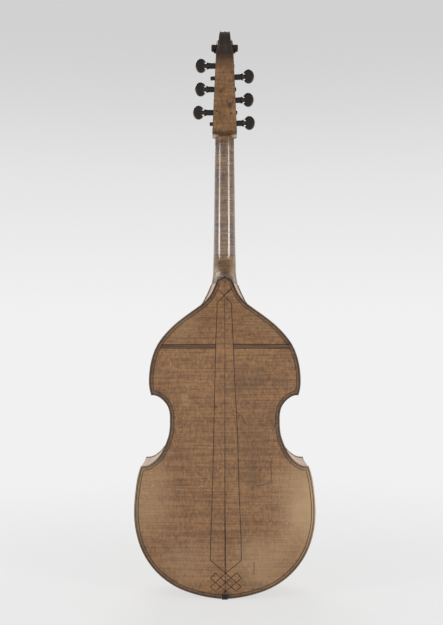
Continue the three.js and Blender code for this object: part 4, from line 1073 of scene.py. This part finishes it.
# Half of the head's hooked inner side in millimetres, from the tip of its hook to its neck
PEG_HEAD_HOOK = [(-1.3, 8.0), (-1.1, 7.3), (-0.4, 6.8), (0.5, 6.4), (1.4, 6.1), (2.0, 5.6),
                 (1.9, 5.1), (1.2, 4.8), (0.0, 4.6), (-1.3, 4.5)]


def head_outline():
    """The outline of a peg's head: most of an oval, with its hooked inner side."""
    wide, high = PEG_HEAD_RADII
    hook_tip = math.radians(145)
    arc = [(PEG_HEAD_WIDTH - wide + wide * math.cos(a), high * math.sin(a))
           for a in np.linspace(-hook_tip, hook_tip, 57)]
    hook = in_metres(PEG_HEAD_HOOK)
    return np.array([*arc, *hook, *[(x, -z) for x, z in reversed(hook)]])


peg_wood = Finish("dark_pear_wood", coat=0.35, coat_roughness=0.1, shine=0.2)
peg_fibres = peg_wood.noise((30, 900, 900), detail=3.0)
peg_clouds = peg_wood.noise((90, 90, 90), detail=2.0)
peg_wood.bump(peg_fibres, 0.1 * MM, 0.3)
peg_dark = peg_wood.paint(
    peg_wood.mixed((peg_fibres * 0.5 + peg_clouds * 0.5).rising(0.3, 0.7),
                   (0.005, 0.003, 0.002), (0.017, 0.010, 0.006)),
    0.32 + (peg_clouds - 0.5) * 0.3)

outline = head_outline()
head_flat, head_where, head_triangles = filled([outline], PEG_HEAD_SPACING)
to_edge = np.minimum(1, distance_to(head_flat, [outline]) / PEG_HEAD_ROUNDING)
head_rise = PEG_HEAD_HALF - PEG_HEAD_ROUNDING * (1 - np.sqrt(1 - (1 - to_edge) ** 2))
for number, start, along, tip, bead, end in pegs:
    inner = end - PEG_HEAD_WIDTH
    at_tip = peg_radius(tip, bead)
    shaft = [(tip, at_tip - 1.1 * MM), (tip + 0.3 * MM, at_tip - 0.4 * MM),
             (tip + 1.1 * MM, at_tip), (0.4 * MM, peg_radius(0, bead)), (1 * MM, 6.1 * MM),
             (bead - 1 * MM, 6.3 * MM)]
    shaft += [(bead + PEG_BEAD * (0.5 - 0.5 * math.cos(a)), (6.6 + math.sin(a)) * MM)
              for a in np.linspace(0, math.pi, 9)]
    shaft += [(inner - PEG_NECK + 0.4 * MM, 4.9 * MM), (inner - 1.2 * MM, 4.5 * MM),
              (inner + 0.6 * MM, 4.3 * MM), (inner + PEG_HEAD_WIDTH / 3, 3.8 * MM)]
    up = along.cross(Vector((0, 1, 0)))
    head = bmesh.new()
    faces = []
    for side in (1, -1):
        places = [start + along * (inner + x) + up * z + Vector((0, side * y, 0))
                  for (x, z), y in zip(head_flat, head_rise)]
        faces.append([head.verts.new(place) for place in places])
        for corners in head_triangles:
            head.faces.new([faces[-1][i] for i in corners])
    zip_up(head, [[face[head_where[i]] for i in range(len(outline))] for face in faces])
    loose = [v for v in head.verts if not v.link_faces]
    bmesh.ops.delete(head, geom=loose, context="VERTS")
    for sanding in range(2):
        bmesh.ops.smooth_vert(
            head, verts=head.verts, factor=0.5, use_axis_x=True, use_axis_y=True, use_axis_z=True)
    made(f"turned_peg_{number}", together(turned(shaft, start, along), head),
         f"peg_{number}_body", peg_dark, 40, [f"peg_{number}"])


# Fingerboard, nut, tailpiece, bar
# Dark stained wood, planed and oiled; the hook bar is let into the tail.
for name in ("fingerboard", "nut", "tailpiece", "hook_bar"):
    dressed(name, peg_dark, 30, ease=0.4 * MM)


# The bridge
# Cut from one piece of unvarnished maple and thinned towards its top; it stands on the belly.
bridge_maple = fibrous("bare_bridge_maple", (500, 120, 60), (0.30, 0.17, 0.07), (0.46, 0.28, 0.13),
                       relief=(0.1 * MM, 0.3), roughness=0.55, shine=0.4)
dressed("bridge", bridge_maple, 35)


# The strings
# Gut for the three upper strings, gut overspun with wire for the three lower ones. Each is
# knotted under the tailpiece, bends over bridge and nut and is wound on its peg.
SIDES_OF_SOLID = 8


def route_of(name):
    """The middle line of a packed string, from its peg down, and its radius."""
    solid = solid_of(name)
    ring = sorted(solid.verts, key=lambda v: -v.co.z)[:SIDES_OF_SOLID]
    seen, middles, radius = set(ring), [], 0.0
    while ring:
        middles.append(sum((v.co for v in ring), Vector()) / len(ring))
        radius = radius or max((v.co - middles[0]).length for v in ring)
        joined = dict.fromkeys(e.other_vert(v) for v in ring for e in v.link_edges)
        ring = [v for v in joined if v not in seen]
        seen.update(ring)
    solid.free()
    return middles, radius


def bent(points, reach):
    """The same way with every bend rounded off within a reach of it."""
    way = [points[0]]
    for a, b, c in zip(points, points[1:], points[2:]):
        t = min(reach, 0.45 * (b - a).length, 0.45 * (c - b).length)
        start, end = b + (a - b).normalized() * t, b + (c - b).normalized() * t
        for k in range(6):
            s = k / 5
            way.append(start * (1 - s) ** 2 + b * 2 * s * (1 - s) + end * s * s)
    return way + [points[-1]]


def tube(way, radius):
    """A round shell along a way of places."""
    side = (way[1] - way[0]).cross(Vector((0, 1, 0.3))).normalized()
    rings = []
    for before, here, after in zip([way[0], *way], way, [*way[1:], way[-1]]):
        ahead = (after - before).normalized()
        side = (side - ahead * side.dot(ahead)).normalized()
        rings.append(circle(here, side, ahead.cross(side), radius, sides=12))
    return skin(rings)


gut_string = fibrous("twisted_gut", (900, 900, 900), (0.50, 0.34, 0.16), (0.72, 0.55, 0.30),
                     detail=2.0, roughness=0.38, coat=0.2)
wire = Finish("overspun_wire", roughness=0.3, metallic=0.85)
turns = wire.add("ShaderNodeTexWave", {"wave_type": "BANDS", "bands_direction": "Z"}, {
    "Vector": wire.place, "Scale": 900.0}, out="Fac")
wire.bump(turns, 0.1 * MM, 0.6)
wire_string = wire.paint(wire.mixed(turns, (0.35, 0.27, 0.18), (0.62, 0.52, 0.38)))

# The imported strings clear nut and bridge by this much, and these lie on them
STRING_GAP = 0.23 * MM
COIL_WIDTH = 3.9 * MM
THICKEST_THREAD = 0.62 * MM
PITCH_OF_COIL = 2.08
STEPS_OF_TURN = 24
SINKING_OF_A_TURN = 8 * MM
STRING_BEND = 1.2 * MM
forward = Vector((0, -1, 0))
for number, start, along, tip, bead, end in pegs:
    middles, radius = route_of(f"string_{number}")
    thread = min(radius, THICKEST_THREAD)
    pitch = PITCH_OF_COIL * thread
    place = (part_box(f"string_winding_{number}")[0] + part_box(f"string_winding_{number}")[1]) / 2
    first = (place - start).dot(along) - (COIL_WIDTH / 2 - thread)
    coils = (COIL_WIDTH - 2 * thread) / pitch
    up = forward.cross(along)
    up = up if up.z > 0 else -up
    way = []
    for step in range(round(coils * STEPS_OF_TURN) + 7):
        turn = step / STEPS_OF_TURN
        angle = 2 * math.pi * min(turn, coils + 0.25)
        out = first + pitch * min(turn, coils)
        sunk = max(0.0, turn - coils) * SINKING_OF_A_TURN
        off = peg_radius(out, bead) + thread - sunk
        way.append(start + along * out + (forward * math.cos(angle) + up * math.sin(angle)) * off)
    material, slot = (gut_string, "gut") if number < 4 else (wire_string, "wound_string")
    made(f"coil_on_peg_{number}", tube(way, thread), f"peg_{number}_body", gut_string, 60,
         [f"string_winding_{number}"])
    laid = [Vector((p.x, p.y + (STRING_GAP if 0 < i < 5 else 0), p.z))
            for i, p in enumerate(middles[1:])]
    stretched = bent([way[0] + up * 0.4 * MM, *laid[1:]], STRING_BEND)
    made(f"playing_string_{number}", tube(stretched, radius), "viol", material, 60,
         [f"string_{number}"])


# The studio
# A plain pale floor that fades into the pale surround, tall soft lights on both sides, and the
# camera of the picture.
HORIZON = (0.88, 0.88, 0.88)


def seen_rays(tree):
    """1 for what the camera sees, straight, mirrored or through glass."""
    rays = [tree.add("ShaderNodeLightPath", out=f"Is {kind} Ray")
            for kind in ("Camera", "Glossy", "Transmission")]
    return rays[0].math("MINIMUM", rays[0] + rays[1] + rays[2], 1.0)


floor_finish = Finish("pale_floor", roughness=0.9, shine=0.0)
floor_finish.plug(floor_finish.shader.inputs["Base Color"], (0.80, 0.80, 0.80))
far = floor_finish.add("ShaderNodeVectorMath", {"operation": "LENGTH"},
                       {0: floor_finish.place}, out="Value")
glow = floor_finish.add("ShaderNodeEmission", None, {"Color": HORIZON, "Strength": 1.0})
NEAR_GLOW = 0.72
plain_share = seen_rays(floor_finish) * (NEAR_GLOW + far.rising(0.35, 1.5) * (1 - NEAR_GLOW))
surface = floor_finish.add("ShaderNodeMixShader", None, {
    0: plain_share, 1: Wire(floor_finish, floor_finish.shader.outputs[0]), 2: glow})
floor_finish.plug(floor_finish.nodes["Material Output"].inputs["Surface"], surface)
floor_mesh = bpy.data.meshes.new("floor")
shell = bmesh.new()
bmesh.ops.create_circle(shell, cap_ends=True, segments=96, radius=9)
shell.to_mesh(floor_mesh)
shell.free()
floor = bpy.data.objects.new("floor", floor_mesh)
bpy.context.scene.collection.objects.link(floor)
floor_mesh.materials.append(floor_finish.material)

world = bpy.data.worlds.new("pale_surround")
bpy.context.scene.world = world
world.use_nodes = True
sky = Tree(world.node_tree)
sky.nodes.clear()
direction = sky.add("ShaderNodeTexCoord", out="Generated")
height = sky.add("ShaderNodeSeparateXYZ", None, {0: direction}, out="Z")
low_sky = sky.mixed(height.rising(0.0, 0.16), HORIZON, (0.81, 0.81, 0.81))
high_sky = sky.mixed(height.rising(0.12, 0.36), low_sky, (0.64, 0.64, 0.64))
shown = sky.add("ShaderNodeBackground", None, {"Color": high_sky, "Strength": 1.0})
lighting = sky.add("ShaderNodeBackground", None, {"Color": (1.0, 1.0, 1.0), "Strength": 0.42})
surround = sky.add("ShaderNodeMixShader", None, {0: seen_rays(sky), 1: lighting, 2: shown})
sky.add("ShaderNodeOutputWorld", None, {"Surface": surround})


def soft_light(name, direction, distance, size, power):
    """A tall soft light that looks at the middle of the instrument."""
    data = bpy.data.lights.new(name, "AREA")
    data.shape = "RECTANGLE"
    data.size, data.size_y = size
    data.energy = power
    lamp = bpy.data.objects.new(name, data)
    aim = Vector((0, 0, 0.6))
    lamp.location = aim + Vector(direction).normalized() * distance
    lamp.rotation_euler = (aim - lamp.location).to_track_quat("-Z", "Y").to_euler()
    bpy.context.scene.collection.objects.link(lamp)


soft_light("left_light", (0.88, 0.50, 0.05), distance=2.2, size=(0.55, 1.9), power=21)
soft_light("right_light", (-0.78, 0.66, 0.05), distance=2.2, size=(0.55, 1.9), power=24)
soft_light("front_light", (0.1, -0.8, 0.6), distance=2.6, size=(1.6, 1.6), power=30)

# The camera looks level at the back, and its picture is shifted by a few rows
PICTURE_ROWS = 625
SHIFT_ROWS = 17
camera_data = bpy.data.cameras.new("camera")
camera_data.lens = 45.79
camera_data.sensor_width = 36
camera_data.shift_y = SHIFT_ROWS / PICTURE_ROWS
camera = bpy.data.objects.new("camera", camera_data)
camera.location = (6.7 * MM, 1673 * MM, 548 * MM)
camera.rotation_euler = (math.radians(90), 0, math.radians(180))
bpy.context.scene.collection.objects.link(camera)
bpy.context.scene.camera = camera
bpy.context.scene.view_settings.view_transform = "Standard"
